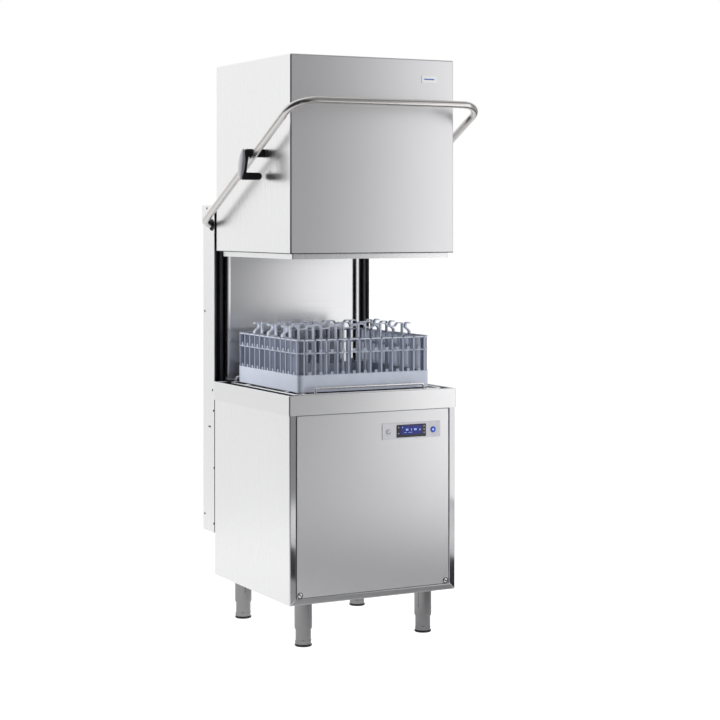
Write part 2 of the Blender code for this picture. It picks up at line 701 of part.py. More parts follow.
def make_links():
    """Stirrups on the hood's sides that the handle's arms slide through."""
    for hand, sign in sides():
        def across(near, far):
            return between(sign, HALF + near, HALF + far)

        middle = deep((LINK_FRONT + LINK_REAR) / 2)
        outer = sign * (HALF + 0.073)
        inner = sign * (HALF + 0.052)
        nose = arc((sign * (HALF + 0.0190), 1.5815), 0.0125, 90, 90 + sign * 180, 8)
        outline = [(outer, 1.569), (outer, 1.674), (inner, 1.674), (inner, 1.594)] + nose
        frame = plate(outline, LINK_REAR - LINK_FRONT, (0, middle, 0), "y")
        low_x, high_x = across(-0.0037, 0.0225)
        root = box((low_x, deep(LINK_FRONT), 1.645), (high_x, deep(LINK_REAR), 1.674))
        low_x, high_x = across(0.010, 0.060)
        pin = rod(0.0055, (low_x, deep(0.2190), 1.6684), high_x - low_x, "x", 14)
        plastic(joined([frame, root, pin]), "link_bracket_" + hand)
        bulge = 0.0065
        face = sign * (HALF + 0.073 + GAP)
        steps = 10
        outline = [(face, 1.5695), (face, 1.6740)]
        for i in range(1, steps):
            share = i / steps
            outline.append((face + sign * bulge * math.sin(math.pi * share) ** 0.7,
                            1.6740 - 0.1045 * share))
        cover = plate(outline, LINK_REAR - LINK_FRONT - 0.001, (0, middle, 0), "y")
        plastic(cover, "link_cover_" + hand, (0.58, 0.58, 0.60))


# ---------------------------------------------------------------- handle
def along_arm(distance):
    """Depth and height of the point this far down the handle's plane from its front bar."""
    return (-HANDLE_REACH + distance * math.cos(HANDLE_SLOPE),
            HANDLE_TOP - distance * math.sin(HANDLE_SLOPE))


def handle_route():
    """Half of the handle's centre line, from the middle of the bar to its right inner end."""
    outer = HALF + HANDLE_SIDE
    arm = (PIVOT_DEPTH + HANDLE_REACH) / math.cos(HANDLE_SLOPE)
    plan = [(0.0, 0.0)]
    plan += arc((outer - HANDLE_BEND, HANDLE_BEND), HANDLE_BEND, -90, 0, 9)
    plan += arc((outer - HANDLE_END_BEND, arm - HANDLE_END_BEND), HANDLE_END_BEND, 0, 90, 7)
    plan += [(HALF - 0.0465, arm)]
    points = []
    for x, distance in plan:
        depth, z = along_arm(distance)
        points.append((x, deep(depth), z))
    return points


def make_handle():
    right = handle_route()
    left = [(-x, y, z) for x, y, z in right[:0:-1]]
    tube = tube_curve(left + right, TUBE_R, 2, name="handle", caps=False)
    steel(thicken(tube, 0.0015), "handle_tube")
    end = (deep(SPRING_DEPTH), SPRING_TOP)
    for hand, sign in sides():
        boss = rod(0.020, (sign * SPRING_X - 0.002, deep(PIVOT_DEPTH), PIVOT_Z), 0.004, "x", 16)
        middle = ((deep(PIVOT_DEPTH) + end[0]) / 2, (PIVOT_Z + end[1]) / 2)
        bar = box((-0.002, -LEVER_REACH / 2, -0.0070), (0.002, LEVER_REACH / 2, 0.0070))
        bar.data.transform(Matrix.Translation((sign * SPRING_X, *middle)) @
                           Matrix.Rotation(-LEVER_REST, 4, "X"))
        tip = rod(0.0075, (sign * SPRING_X - 0.002, end[0], end[1]), 0.004, "x", 16)
        joined([boss, bar, tip])
        shaft = rod(TUBE_R + GAP, (sign * SPRING_X - 0.01, deep(PIVOT_DEPTH), PIVOT_Z), 0.02, "x", 16)
        eye = rod(0.0040, (sign * SPRING_X - 0.01, end[0], end[1]), 0.02, "x", 12)
        steel(boolean(boss, [shaft, eye]), "spring_lever_" + hand)


# ---------------------------------------------------------------- feet
def make_feet():
    for place, depth in zip(("front", "rear"), FOOT_DEPTHS):
        for hand, sign in sides():
            spot = (sign * FOOT_X, deep(depth), 0)
            sleeve = turned([(0.0300, CABINET_BOTTOM), (0.0300, 0.0600), (0.0285, 0.0570),
                             (0.0268, 0.0570), (0.0268, CABINET_BOTTOM)], spot)
            steel(sleeve, f"leg_{place}_{hand}")
            foot = turned([(0.0, 0.0060), (0.0240, 0.0060), (0.0240, 0.1430), (VENT_R, 0.1430),
                           (VENT_R, 0.1450), (0.0264, 0.1450), (0.0264, 0.0200),
                           (0.0280, 0.0120), (0.0280, 0.0020), (0.0265, 0.0), (0.0, 0.0)], spot)
            steel(foot, f"foot_{place}_{hand}")


# ---------------------------------------------------------------- rack and its guide
GUIDE_FOOT = 0.7930


def make_rack_guide():
    """Wire frame that carries the rack; it stands on the tank strainer on four legs."""
    wire = 0.0035
    level = RACK_BOTTOM - GAP - wire
    middle = deep(RACK_MIDDLE)
    ring_x = 0.280
    ring_y = RACK_SIZE / 2 + 0.006
    ring = [(x, middle + y, level) for x, y in ((-ring_x, -ring_y), (ring_x, -ring_y),
                                               (ring_x, ring_y), (-ring_x, ring_y))]
    frame = tube_curve(ring, wire, 1, closed=True)
    pieces = [frame]
    for y in (-0.16, 0.16):
        pieces.append(tube_curve([(-ring_x, middle + y, level), (ring_x, middle + y, level)],
                                 wire * 0.97, 1))
    for x in (-0.24, 0.24):
        for y in (-0.20, 0.20):
            pieces.append(tube_curve([(x, middle + y, GUIDE_FOOT), (x, middle + y * 0.99, level - 0.001)],
                                     wire * 0.97, 1))
        pieces.append(tube_curve([(x, middle - ring_y, level), (x, middle + ring_y, level)],
                                 wire * 0.94, 1))
    for y, side in ((-ring_y, -1), (ring_y, 1)):
        half = 0.200
        rise = RACK_BOTTOM + 0.0120
        out = middle + y + side * 0.002
        lift = [(-half - 0.003, middle + y, level), (-half, out, rise - 0.004),
                (-half + 0.005, out, rise), (half - 0.005, out, rise),
                (half, out, rise - 0.004), (half + 0.003, middle + y, level)]
        pieces.append(tube_curve(lift, wire * 0.90, 1))
    steel(joined(pieces), "rack_guide")


def make_rack():
    """Open crate: solid base band, two tiers of windows between posts, and an open-grid floor."""
    half = RACK_SIZE / 2
    wall = 0.016
    base = 0.058
    middle_rail = 0.1325
    top = 0.1795
    bays = 11
    low = RACK_BOTTOM
    centre = deep(RACK_MIDDLE)
    crate = box((-half, centre - half, low), (half, centre + half, low + top))
    bevelled(crate, 0.010, 2)
    inner = half - wall
    hollow = box((-inner, centre - inner, low + 0.006), (inner, centre + inner, low + top + 0.01))
    windows = []
    floor_holes = []
    pitch = 2 * (half - 0.022) / bays
    reach = half + 0.02
    for i in range(bays):
        at = -half + 0.022 + pitch * (i + 0.5)
        gap = pitch / 2 - 0.0022
        for z_low, z_high in ((base, middle_rail - 0.004), (middle_rail, top - 0.004)):
            windows.append(box((at - gap, centre - reach, low + z_low),
                               (at + gap, centre + reach, low + z_high)))
            windows.append(box((-reach, centre + at - gap, low + z_low),
                               (reach, centre + at + gap, low + z_high)))
    cell = 2 * (inner - 0.012) / 5
    for i in range(5):
        for j in range(5):
            x = -inner + 0.012 + cell * (i + 0.5)
            y = centre - inner + 0.012 + cell * (j + 0.5)
            floor_holes.append(box((x - cell / 2 + 0.005, y - cell / 2 + 0.005, low - 0.01),
                                   (x + cell / 2 - 0.005, y + cell / 2 - 0.005, low + 0.02)))
    boolean(crate, merged_cutters([hollow], windows[0::2], windows[1::2], floor_holes))
    plastic(crate, "rack", BLUE_GREY)


def merged_cutters(*groups):
    """One cutter for each group, so that no cutter's boxes cross within it."""
    merged = []
    for group in groups:
        work = bmesh.new()
        for cutter in group:
            work.from_mesh(cutter.data)
            bpy.data.objects.remove(cutter)
        mesh = bpy.data.meshes.new("cut")
        work.to_mesh(mesh)
        work.free()
        merged.append(bpy.data.objects.new("cut", mesh))
    return merged


def main():
    make_base_tray()
    make_side_panels()
    make_front_bottom_rail()
    make_front_panel()
    make_panel_locks()
    make_rim()
    make_tank()
    make_strainers()
    make_spray_system()
    make_machinery()
    make_controls()
    make_column_plates()
    make_column_cover()
    make_back_panel()
    make_rails()
    make_bearings()
    make_springs()
    make_hood()
    make_links()
    make_handle()
    make_feet()
    make_rack_guide()
    make_rack()


main()
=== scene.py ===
"""Looks of the hood-type glass washer: finishes, detailed pieces, light and camera.

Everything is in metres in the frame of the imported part: +Z up, the front facing -Y. Places come
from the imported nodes' boxes; what the boxes can't say is a named measure below.
"""
import json
import math

import bmesh
import bpy
from mathutils import Matrix, Vector

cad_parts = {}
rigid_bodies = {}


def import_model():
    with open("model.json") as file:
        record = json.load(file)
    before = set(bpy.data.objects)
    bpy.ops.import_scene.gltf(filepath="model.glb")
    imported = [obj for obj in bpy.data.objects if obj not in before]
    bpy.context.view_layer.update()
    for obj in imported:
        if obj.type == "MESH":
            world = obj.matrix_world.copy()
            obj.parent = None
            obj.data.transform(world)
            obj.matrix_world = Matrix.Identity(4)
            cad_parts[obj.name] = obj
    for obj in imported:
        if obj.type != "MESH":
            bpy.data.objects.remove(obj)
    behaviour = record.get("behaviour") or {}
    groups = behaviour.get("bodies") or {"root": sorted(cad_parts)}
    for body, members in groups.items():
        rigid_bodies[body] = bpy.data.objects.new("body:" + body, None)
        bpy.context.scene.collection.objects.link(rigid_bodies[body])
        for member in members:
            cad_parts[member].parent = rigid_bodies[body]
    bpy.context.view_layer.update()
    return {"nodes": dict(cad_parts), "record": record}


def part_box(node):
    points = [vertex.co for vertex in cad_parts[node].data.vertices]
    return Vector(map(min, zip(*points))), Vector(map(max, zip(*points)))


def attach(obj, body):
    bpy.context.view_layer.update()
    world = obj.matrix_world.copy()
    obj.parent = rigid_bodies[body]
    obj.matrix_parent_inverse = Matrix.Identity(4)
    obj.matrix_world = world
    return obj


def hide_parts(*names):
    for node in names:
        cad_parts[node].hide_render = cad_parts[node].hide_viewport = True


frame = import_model()
HANDS = (("left", -1), ("right", 1))


def low(node):
    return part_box(node)[0]


def high(node):
    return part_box(node)[1]


def centre_of(node):
    first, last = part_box(node)
    return (first + last) / 2


HALF = high("side_panel_right").x
FRONT_Y = low("side_panel_left").y
CABINET_LOW = low("side_panel_left").z
CABINET_HIGH = high("side_panel_left").z
SHEET = 0.0012


def deep(depth):
    """Y of a plane this far behind the cabinet's front plane."""
    return FRONT_Y + depth


# ---------------------------------------------------------------- materials
def start_material(name):
    material = bpy.data.materials.new(name)
    material.use_nodes = True
    tree = material.node_tree
    return material, tree, tree.nodes["Principled BSDF"]


def stretched_noise(tree, scale, stretch, detail=3.0):
    """Noise in metres, drawn out along the axes where stretch is small."""
    spot = tree.nodes.new("ShaderNodeTexCoord")
    squeeze = tree.nodes.new("ShaderNodeMapping")
    squeeze.inputs["Scale"].default_value = stretch
    noise = tree.nodes.new("ShaderNodeTexNoise")
    noise.inputs["Scale"].default_value = scale
    noise.inputs["Detail"].default_value = detail
    tree.links.new(spot.outputs["Object"], squeeze.inputs["Vector"])
    tree.links.new(squeeze.outputs["Vector"], noise.inputs["Vector"])
    return noise.outputs["Fac"]


def ranged(tree, value, low_value, high_value, low_in=0.3, high_in=0.7):
    ramp = tree.nodes.new("ShaderNodeMapRange")
    ramp.inputs["From Min"].default_value = low_in
    ramp.inputs["From Max"].default_value = high_in
    ramp.inputs["To Min"].default_value = low_value
    ramp.inputs["To Max"].default_value = high_value
    tree.links.new(value, ramp.inputs["Value"])
    return ramp.outputs["Result"]


def blended(tree, share, first, second):
    mix = tree.nodes.new("ShaderNodeMix")
    mix.data_type = "RGBA"
    mix.inputs["A"].default_value = (*first, 1.0)
    mix.inputs["B"].default_value = (*second, 1.0)
    tree.links.new(share, mix.inputs["Factor"])
    return mix.outputs["Result"]


def bumped(tree, shader, height, strength, distance):
    bump = tree.nodes.new("ShaderNodeBump")
    bump.inputs["Strength"].default_value = strength
    bump.inputs["Distance"].default_value = distance
    tree.links.new(height, bump.inputs["Height"])
    tree.links.new(bump.outputs["Normal"], shader.inputs["Normal"])


def brushed_steel(name, tint, roughness, along="z", grain=0.25, spread=0.04):
    """Brushed sheet: fine streaks along one axis, and a slow cloudiness in tint and gloss."""
    material, tree, shader = start_material(name)
    shader.inputs["Metallic"].default_value = 1.0
    stretch = [1.0, 1.0, 1.0]
    stretch["xyz".index(along)] = 0.012
    streaks = stretched_noise(tree, 420.0, stretch, 4.0)
    clouds = stretched_noise(tree, 2.2, (1.0, 1.0, 1.0), 2.0)
    dark = tuple(channel * 0.97 for channel in tint)
    share = tree.nodes.new("ShaderNodeMath")
    share.operation = "MULTIPLY_ADD"
    share.inputs[1].default_value = 0.15
    tree.links.new(streaks, share.inputs[0])
    tree.links.new(ranged(tree, clouds, 0.0, 0.5), share.inputs[2])
    tree.links.new(blended(tree, share.outputs[0], dark, tint), shader.inputs["Base Color"])
    tree.links.new(ranged(tree, streaks, roughness - spread, roughness + spread),
                   shader.inputs["Roughness"])
    bumped(tree, shader, streaks, grain, 0.00012)
    return material


def moulded_plastic(name, colour, roughness, grain=0.2, mottling=0.06):
    """Moulded plastic: faint leathery grain, slight mottling and uneven gloss."""
    material, tree, shader = start_material(name)
    grains = stretched_noise(tree, 900.0, (1.0, 1.0, 1.0), 2.0)
    clouds = stretched_noise(tree, 14.0, (1.0, 1.0, 1.0), 3.0)
    darker = tuple(channel * (1.0 - mottling) for channel in colour)
    lighter = tuple(min(1.0, channel * (1.0 + mottling)) for channel in colour)
    tree.links.new(blended(tree, ranged(tree, clouds, 0.0, 1.0), darker, lighter),
                   shader.inputs["Base Color"])
    tree.links.new(ranged(tree, clouds, roughness - 0.04, roughness + 0.05),
                   shader.inputs["Roughness"])
    bumped(tree, shader, grains, grain, 0.00015)
    return material


def glowing(name, colour, strength):
    """A lit mark behind the display window, with a slightly uneven glow."""
    material, tree, shader = start_material(name)
    clouds = stretched_noise(tree, 300.0, (1.0, 1.0, 1.0), 2.0)
    darker = tuple(channel * 0.8 for channel in colour)
    tint = blended(tree, ranged(tree, clouds, 0.0, 1.0), darker, colour)
    tree.links.new(tint, shader.inputs["Base Color"])
    tree.links.new(tint, shader.inputs["Emission Color"])
    shader.inputs["Emission Strength"].default_value = strength
    tree.links.new(ranged(tree, clouds, 0.3, 0.4), shader.inputs["Roughness"])
    return material


STEEL_SIDE = brushed_steel("side_sheet", (0.88, 0.88, 0.885), 0.28, "z", 0.012, 0.012)
STEEL_FRONT = brushed_steel("front_sheet", (0.80, 0.80, 0.81), 0.32, "z", 0.04, 0.02)
STEEL_RIM = brushed_steel("rim_sheet", (0.84, 0.84, 0.845), 0.29, "x", 0.02, 0.015)
STEEL_EDGE = brushed_steel("edge_sheet", (0.56, 0.56, 0.57), 0.07, "z", 0.02, 0.02)
STEEL_INNER = brushed_steel("inner_sheet", (0.74, 0.74, 0.75), 0.22, "x", 0.03, 0.02)
STEEL_TUBE = brushed_steel("tube_satin", (0.66, 0.645, 0.63), 0.20, "y", 0.05)
STEEL_FOOT = brushed_steel("foot_tube", (0.29, 0.29, 0.295), 0.07, "z", 0.05)
# Near-black steel for the tank and the parts in it: painted shade, standing in for the dark inside
# of the tank.
STEEL_TANK_SHADE = brushed_steel("tank_painted_shade", (0.05, 0.05, 0.054), 0.30, "x", 0.05)
STEEL_WIRE = brushed_steel("bright_wire", (0.95, 0.95, 0.96), 0.26, "x", 0.04, 0.03)
STEEL_LIP = brushed_steel("lip_sheet", (0.48, 0.48, 0.485), 0.30, "x", 0.01, 0.01)
STEEL_SCREW = brushed_steel("screw_head", (0.12, 0.12, 0.125), 0.35, "x", 0.1)
STEEL_SPRING = brushed_steel("spring_wire", (0.42, 0.42, 0.43), 0.30, "z", 0.1)
LOCK_METAL = brushed_steel("lock_metal", (0.045, 0.045, 0.05), 0.25, "x", 0.05)
BLACK = moulded_plastic("black_nylon", (0.016, 0.016, 0.020), 0.42)
BLACK_RAIL = moulded_plastic("black_rail", (0.045, 0.045, 0.050), 0.36, 0.1)
RUBBER = moulded_plastic("foot_rubber", (0.012, 0.016, 0.020), 0.6, 0.3)
COVER_GREY = moulded_plastic("cover_grey", (0.50, 0.50, 0.53), 0.34, 0.1)
NATURAL = moulded_plastic("sliding_white", (0.74, 0.74, 0.71), 0.45)
PEARL = moulded_plastic("pearl_grey", (0.60, 0.60, 0.64), 0.30, 0.1, 0.04)
GLOSS_BLACK = moulded_plastic("window_black", (0.010, 0.010, 0.013), 0.10, 0.02)
SCREEN_BLUE = moulded_plastic("screen_blue", (0.012, 0.012, 0.20), 0.14, 0.02)
BUTTON_BLUE = moulded_plastic("button_blue", (0.008, 0.085, 0.60), 0.22, 0.02)
BADGE_BLUE = moulded_plastic("badge_blue", (0.06, 0.17, 0.55), 0.3, 0.02)
RACK_BLUE = moulded_plastic("rack_grey_blue", (0.56, 0.60, 0.70), 0.42, 0.15, 0.04)
# Darker copy of the rack plastic for the posts and tabs: painted shade between the deep ribs.
RACK_POST_SHADE = moulded_plastic("rack_post_painted_shade", (0.36, 0.395, 0.49), 0.42, 0.15, 0.04)
MOTOR = moulded_plastic("motor_paint", (0.10, 0.11, 0.13), 0.45)
SCREEN_MARK = glowing("screen_mark", (0.30, 0.50, 0.95), 0.45)
ICON_MARK = glowing("icon_mark", (0.55, 0.55, 0.60), 0.25)

NODE_FINISHES = {
    "side_steel": STEEL_SIDE, "front_steel": STEEL_FRONT, "rim_steel": STEEL_RIM,
    "inner_steel": STEEL_INNER, "tube_steel": STEEL_TUBE, "foot_steel": STEEL_FOOT,
    "wire_steel": STEEL_WIRE, "spring_steel": STEEL_SPRING, "black_plastic": BLACK,
    "cover_plastic": COVER_GREY, "natural_plastic": NATURAL, "control_plastic": PEARL,
    "display_plastic": GLOSS_BLACK, "blue_plastic": BUTTON_BLUE, "rack_plastic": RACK_BLUE,
    "motor_paint": MOTOR,
}


TANK_NODES = ("wash_tank", "tank_strainer", "sump_filter", "lower_wash_arm", "lower_rinse_arm",
              "lower_spindle")


def dress_nodes():
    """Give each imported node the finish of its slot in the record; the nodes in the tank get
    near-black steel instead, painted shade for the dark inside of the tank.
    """
    for part in frame["record"]["subparts"]:
        node = frame["nodes"][part["node"]]
        node.data.materials.clear()
        inside = part["node"] in TANK_NODES
        node.data.materials.append(STEEL_TANK_SHADE if inside else NODE_FINISHES[part["material_slot"]])


# ---------------------------------------------------------------- mesh tools
def piece(obj, body, material, slot, *nodes):
    """File a finished object: its material, its body and the nodes it stands for. The slot is not
    used.
    """
    if obj.name not in bpy.context.scene.collection.objects:
        bpy.context.scene.collection.objects.link(obj)
    obj.data.materials.clear()
    obj.data.materials.append(material)
    flat = obj.modifiers.new("normals", "WEIGHTED_NORMAL")
    flat.keep_sharp = True
    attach(obj, body)
    if nodes:
        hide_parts(*nodes)
    return obj


def mesh_object(name, build, smooth=40.0):
    mesh = bpy.data.meshes.new(name)
    work = bmesh.new()
    build(work)
    bmesh.ops.recalc_face_normals(work, faces=work.faces)
    work.to_mesh(mesh)
    work.free()
    mesh.shade_smooth()
    mesh.set_sharp_from_angle(angle=math.radians(smooth))
    return bpy.data.objects.new(name, mesh)


def thicken(obj, thickness, offset=0.0):
    solid = obj.modifiers.new("sheet", "SOLIDIFY")
    solid.thickness = thickness
    solid.offset = offset
    solid.use_even_offset = True
    return obj


def bevelled(obj, width, segments=2):
    """Bevel every edge sharper than 30 degrees."""
    edge = obj.modifiers.new("edge", "BEVEL")
    edge.width = width
    edge.segments = segments
    edge.limit_method = "ANGLE"
    edge.angle_limit = math.radians(30.0)
    edge.harden_normals = True
    return obj


def cut(obj, *cutters):
    """Take each cutter's shape out of obj, apply its modifiers, and leave no cutter behind."""
    objects = bpy.context.scene.collection.objects
    for cutter in cutters:
        objects.link(cutter)
        change = obj.modifiers.new("cut", "BOOLEAN")
        change.operation = "DIFFERENCE"
        change.solver = "EXACT"
        change.object = cutter
    objects.link(obj)
    bpy.context.view_layer.update()
    graph = bpy.context.evaluated_depsgraph_get()
    mesh = bpy.data.meshes.new_from_object(obj.evaluated_get(graph))
    obj.modifiers.clear()
    obj.data = mesh
    for cutter in cutters:
        bpy.data.objects.remove(cutter, do_unlink=True)
    return obj


def arc(centre, radius, start, end, steps):
    spots = []
    for i in range(steps + 1):
        angle = math.radians(start + (end - start) * i / steps)
        spots.append((centre[0] + radius * math.cos(angle), centre[1] + radius * math.sin(angle)))
    return spots


def softened(points, radius, closed, steps):
    """A line of 2D or 3D corners with each inner corner bent to a radius."""
    count = len(points)
    made = []
    for i, point in enumerate(points):
        here = Vector(point)
        if not closed and i in (0, count - 1):
            made.append(here)
            continue
        back = Vector(points[i - 1]) - here
        ahead = Vector(points[(i + 1) % count]) - here
        turn = math.pi - back.angle(ahead)
        reach = min(radius * math.tan(turn / 2), back.length * 0.49, ahead.length * 0.49)
        first = here + back.normalized() * reach
        last = here + ahead.normalized() * reach
        for step in range(steps + 1):
            share = step / steps
            made.append(first.lerp(here, share).lerp(here.lerp(last, share), share))
    return made


def rounded(points, radius, closed=False, steps=5):
    return [tuple(spot) for spot in softened(points, radius, closed, steps)]


def bent_path(corners, radius):
    return softened(corners, radius, False, 8)


def join_rings(work, rings):
    """Faces between each closed ring of vertices and the next; a ring of one is a tip."""
    for first, second in zip(rings, rings[1:]):
        count = max(len(first), len(second))
        for i in range(count):
            j = (i + 1) % count
            corners = [first[i % len(first)], first[j % len(first)],
                       second[j % len(second)], second[i % len(second)]]
            work.faces.new(list(dict.fromkeys(corners)))


def turned_rings(work, profile, steps):
    """Rings of vertices about Z from (radius, height) pairs; radius 0 gives a tip."""
    rings = []
    for radius, height in profile:
        angles = [2 * math.pi * i / steps for i in range(steps if radius else 1)]
        rings.append([work.verts.new((radius * math.cos(angle), radius * math.sin(angle), height))
                      for angle in angles])
    return rings


def swept_sheet(name, line, axis, start, end, thickness=SHEET):
    """A bent sheet: an open 2D line pushed along an axis, with thickness about that line."""
    def build(work):
        rings = []
        for stop in (start, end):
            ring = []
            for first, second in line:
                place = [first, second]
                place.insert("xyz".index(axis), stop)
                ring.append(work.verts.new(place))
            rings.append(ring)
        for i in range(len(line) - 1):
            work.faces.new((rings[0][i], rings[0][i + 1], rings[1][i + 1], rings[1][i]))
    return thicken(mesh_object(name, build), thickness)


def raise_outline(work, spots, height):
    """Add a solid: a ring of points pushed up along Z. Gives its vertices."""
    ring = [work.verts.new(spot) for spot in spots]
    pushed = bmesh.ops.extrude_face_region(work, geom=[work.faces.new(ring)])["geom"]
    lifted = [item for item in pushed if isinstance(item, bmesh.types.BMVert)]
    bmesh.ops.translate(work, verts=lifted, vec=(0, 0, height))
    return ring + lifted


def flat_plate(name, outline, thickness, place, normal="x"):
    """A flat outline with thickness, lying in the two axes after its normal."""
    turns = {"x": Matrix(((0, 0, 1, 0), (1, 0, 0, 0), (0, 1, 0, 0), (0, 0, 0, 1))),
             "y": Matrix(((1, 0, 0, 0), (0, 0, -1, 0), (0, 1, 0, 0), (0, 0, 0, 1))),
             "z": Matrix()}

    def build(work):
        spots = [(first, second, -thickness / 2) for first, second in outline]
        raise_outline(work, spots, thickness)
        bmesh.ops.transform(work, matrix=Matrix.Translation(place) @ turns[normal],
                            verts=work.verts)
    return mesh_object(name, build)


def rectangle(width, height, radius=0.0, steps=5):
    """Corners of a rectangle about the origin, rounded when a radius is given."""
    corners = [(-width / 2, -height / 2), (width / 2, -height / 2),
               (width / 2, height / 2), (-width / 2, height / 2)]
    return rounded(corners, radius, True, steps) if radius else corners


def fill_box(work, first, last):
    size = [b - a for a, b in zip(first, last)]
    middle = [(a + b) / 2 for a, b in zip(first, last)]
    bmesh.ops.create_cube(work, size=1.0, matrix=Matrix.Translation(middle) @
                          Matrix.Diagonal((*size, 1.0)))


def open_box(name, first, last, is_gone):
    """A box's skin without the faces whose normal passes the test."""
    def build(work):
        fill_box(work, first, last)
        gone = [face for face in work.faces if is_gone(face.normal)]
        bmesh.ops.delete(work, geom=gone, context="FACES")
    return mesh_object(name, build)


def block(name, first, last, edge=0.001):
    return bevelled(mesh_object(name, lambda work: fill_box(work, first, last)), edge)


def lathe(name, profile, place, axis="z", steps=48, smooth=35.0):
    """A turned piece from (radius, height) pairs; a pair on the axis closes that end."""
    turns = {"z": Matrix(), "x": Matrix.Rotation(math.pi / 2, 4, "Y"),
             "y": Matrix.Rotation(-math.pi / 2, 4, "X")}

    def build(work):
        rings = turned_rings(work, profile, steps)
        if profile[0][0] > 0.0 and profile[-1][0] > 0.0:
            rings.append(rings[0])
        join_rings(work, rings)
        bmesh.ops.transform(work, matrix=Matrix.Translation(place) @ turns[axis],
                            verts=work.verts)
    return mesh_object(name, build, smooth)


def sweep_tube(work, points, radius, sides=16):
    """Add a round bar along 3D points, with frames carried smoothly from point to point."""
    spots = [Vector(point) for point in points]
    rings = []
    across = None
    for i, spot in enumerate(spots):
        ahead = (spots[min(i + 1, len(spots) - 1)] - spots[max(i - 1, 0)]).normalized()
        if across is None:
            guide = Vector((0, 0, 1)) if abs(ahead.z) < 0.9 else Vector((1, 0, 0))
            across = ahead.cross(guide).normalized()
        across = (across - ahead * across.dot(ahead)).normalized()
        other = ahead.cross(across)
        rings.append([work.verts.new(spot + radius * (
            math.cos(2 * math.pi * k / sides) * across + math.sin(2 * math.pi * k / sides) * other))
            for k in range(sides)])
    join_rings(work, rings)
    work.faces.new(rings[0])
    work.faces.new(rings[-1])


def screw_head(work, place, normal, radius, rise):
    """Add a low domed screw head with a dimple, facing along the normal."""
    turn = Vector(normal).to_track_quat("Z", "Y").to_matrix().to_4x4()
    profile = [(0.0, rise * 0.35), (radius * 0.35, rise * 0.35), (radius * 0.42, rise),
               (radius * 0.75, rise * 0.85), (radius, rise * 0.3), (radius, -rise * 0.5)]
    rings = turned_rings(work, profile, 16)
    join_rings(work, rings)
    made = [vert for ring in rings for vert in ring]
    bmesh.ops.transform(work, matrix=Matrix.Translation(place) @ turn, verts=made)


def hole_cutter(radius, reach, place, axis):
    """A round cutter that reaches this far to both sides of its place."""
    return lathe("hole", [(0.0, reach), (radius, reach), (radius, -reach), (0.0, -reach)],
                 place, axis, 40)


# ---------------------------------------------------------------- camera and light
CAMERA_AT = (-2.9235, -5.765, 1.434)
CAMERA_TURN = math.radians(27.73)


def make_camera():
    data = bpy.data.cameras.new("camera")
    data.lens = 91.3
    data.sensor_width = 36.0
    data.shift_y = -0.195
    camera = bpy.data.objects.new("camera", data)
    camera.location = CAMERA_AT
    camera.rotation_euler = (math.pi / 2, 0.0, -CAMERA_TURN)
    bpy.context.scene.collection.objects.link(camera)
    bpy.context.scene.camera = camera


def soft_box(name, place, target, width, height, power):
    """A large rectangular light that isn't itself seen."""
    data = bpy.data.lights.new(name, "AREA")
    data.shape = "RECTANGLE"
    data.size = width
    data.size_y = height
    data.energy = power
    light = bpy.data.objects.new(name, data)
    light.location = place
    light.rotation_euler = (Vector(target) - Vector(place)).to_track_quat("-Z", "Y").to_euler()
    light.visible_camera = False
    bpy.context.scene.collection.objects.link(light)
    return light


ROOM_DARK_SIDE = (0.55, -0.83, 0.0)
ROOM_FADE = (-0.30, 0.70)
ROOM_PALE = (1.03, 1.03, 1.03)
ROOM_DIM = (0.28, 0.28, 0.285)
ROOM_GAP_SIDE = (-0.885, -0.465, 0.0)
ROOM_GAP_FADE = (0.36, 0.78)
ROOM_GAP = (0.05, 0.05, 0.055)
FLOOR_PALE = (0.10, 0.10, 0.10)
FLOOR_DIM = (0.60, 0.60, 0.605)
FLOOR_NEAR = (0.41, 0.41, 0.415)
FLOOR_GLOW = (0.86, 0.86, 0.86)
FLOOR_FADE = (-0.3, 1.0)
FLOOR_GAP_FADE = (1.2, 3.0)
NEAR_FADE_IN = (0.50, 0.90)
STRIP_FADE_IN = (1.60, 1.66)
STRIP_FADE_OUT = (2.55, 2.60)


def toward(tree, output, direction, fade):
    """Share of a vector's run along a direction, faded between two values."""
    facing = tree.nodes.new("ShaderNodeVectorMath")
    facing.operation = "DOT_PRODUCT"
    facing.inputs[1].default_value = direction
    tree.links.new(output, facing.inputs[0])
    return ranged(tree, facing.outputs["Value"], 0.0, 1.0, *fade)


def tinted(tree, share, base, end):
    """Blend from a colour socket to a fixed colour."""
    mix = tree.nodes.new("ShaderNodeMix")
    mix.data_type = "RGBA"
    mix.inputs["B"].default_value = (*end, 1.0)
    tree.links.new(base, mix.inputs["A"])
    tree.links.new(share, mix.inputs["Factor"])
    return mix.outputs["Result"]


def make_world():
    """Soft room: pale at the back and left, dim at the front right, dark at the front left."""
    world = bpy.data.worlds.new("studio")
    bpy.context.scene.world = world
    world.use_nodes = True
    tree = world.node_tree
    background = tree.nodes["Background"]
    spot = tree.nodes.new("ShaderNodeTexCoord")
    dim = toward(tree, spot.outputs["Generated"], Vector(ROOM_DARK_SIDE).normalized(), ROOM_FADE)
    gap = toward(tree, spot.outputs["Generated"], ROOM_GAP_SIDE, ROOM_GAP_FADE)
    room = tinted(tree, gap, blended(tree, dim, ROOM_PALE, ROOM_DIM), ROOM_GAP)
    seen = tree.nodes.new("ShaderNodeLightPath")
    shown = tinted(tree, seen.outputs["Is Camera Ray"], room, (1.0, 1.0, 1.0))
    tree.links.new(shown, background.inputs["Color"])
    background.inputs["Strength"].default_value = 1.0


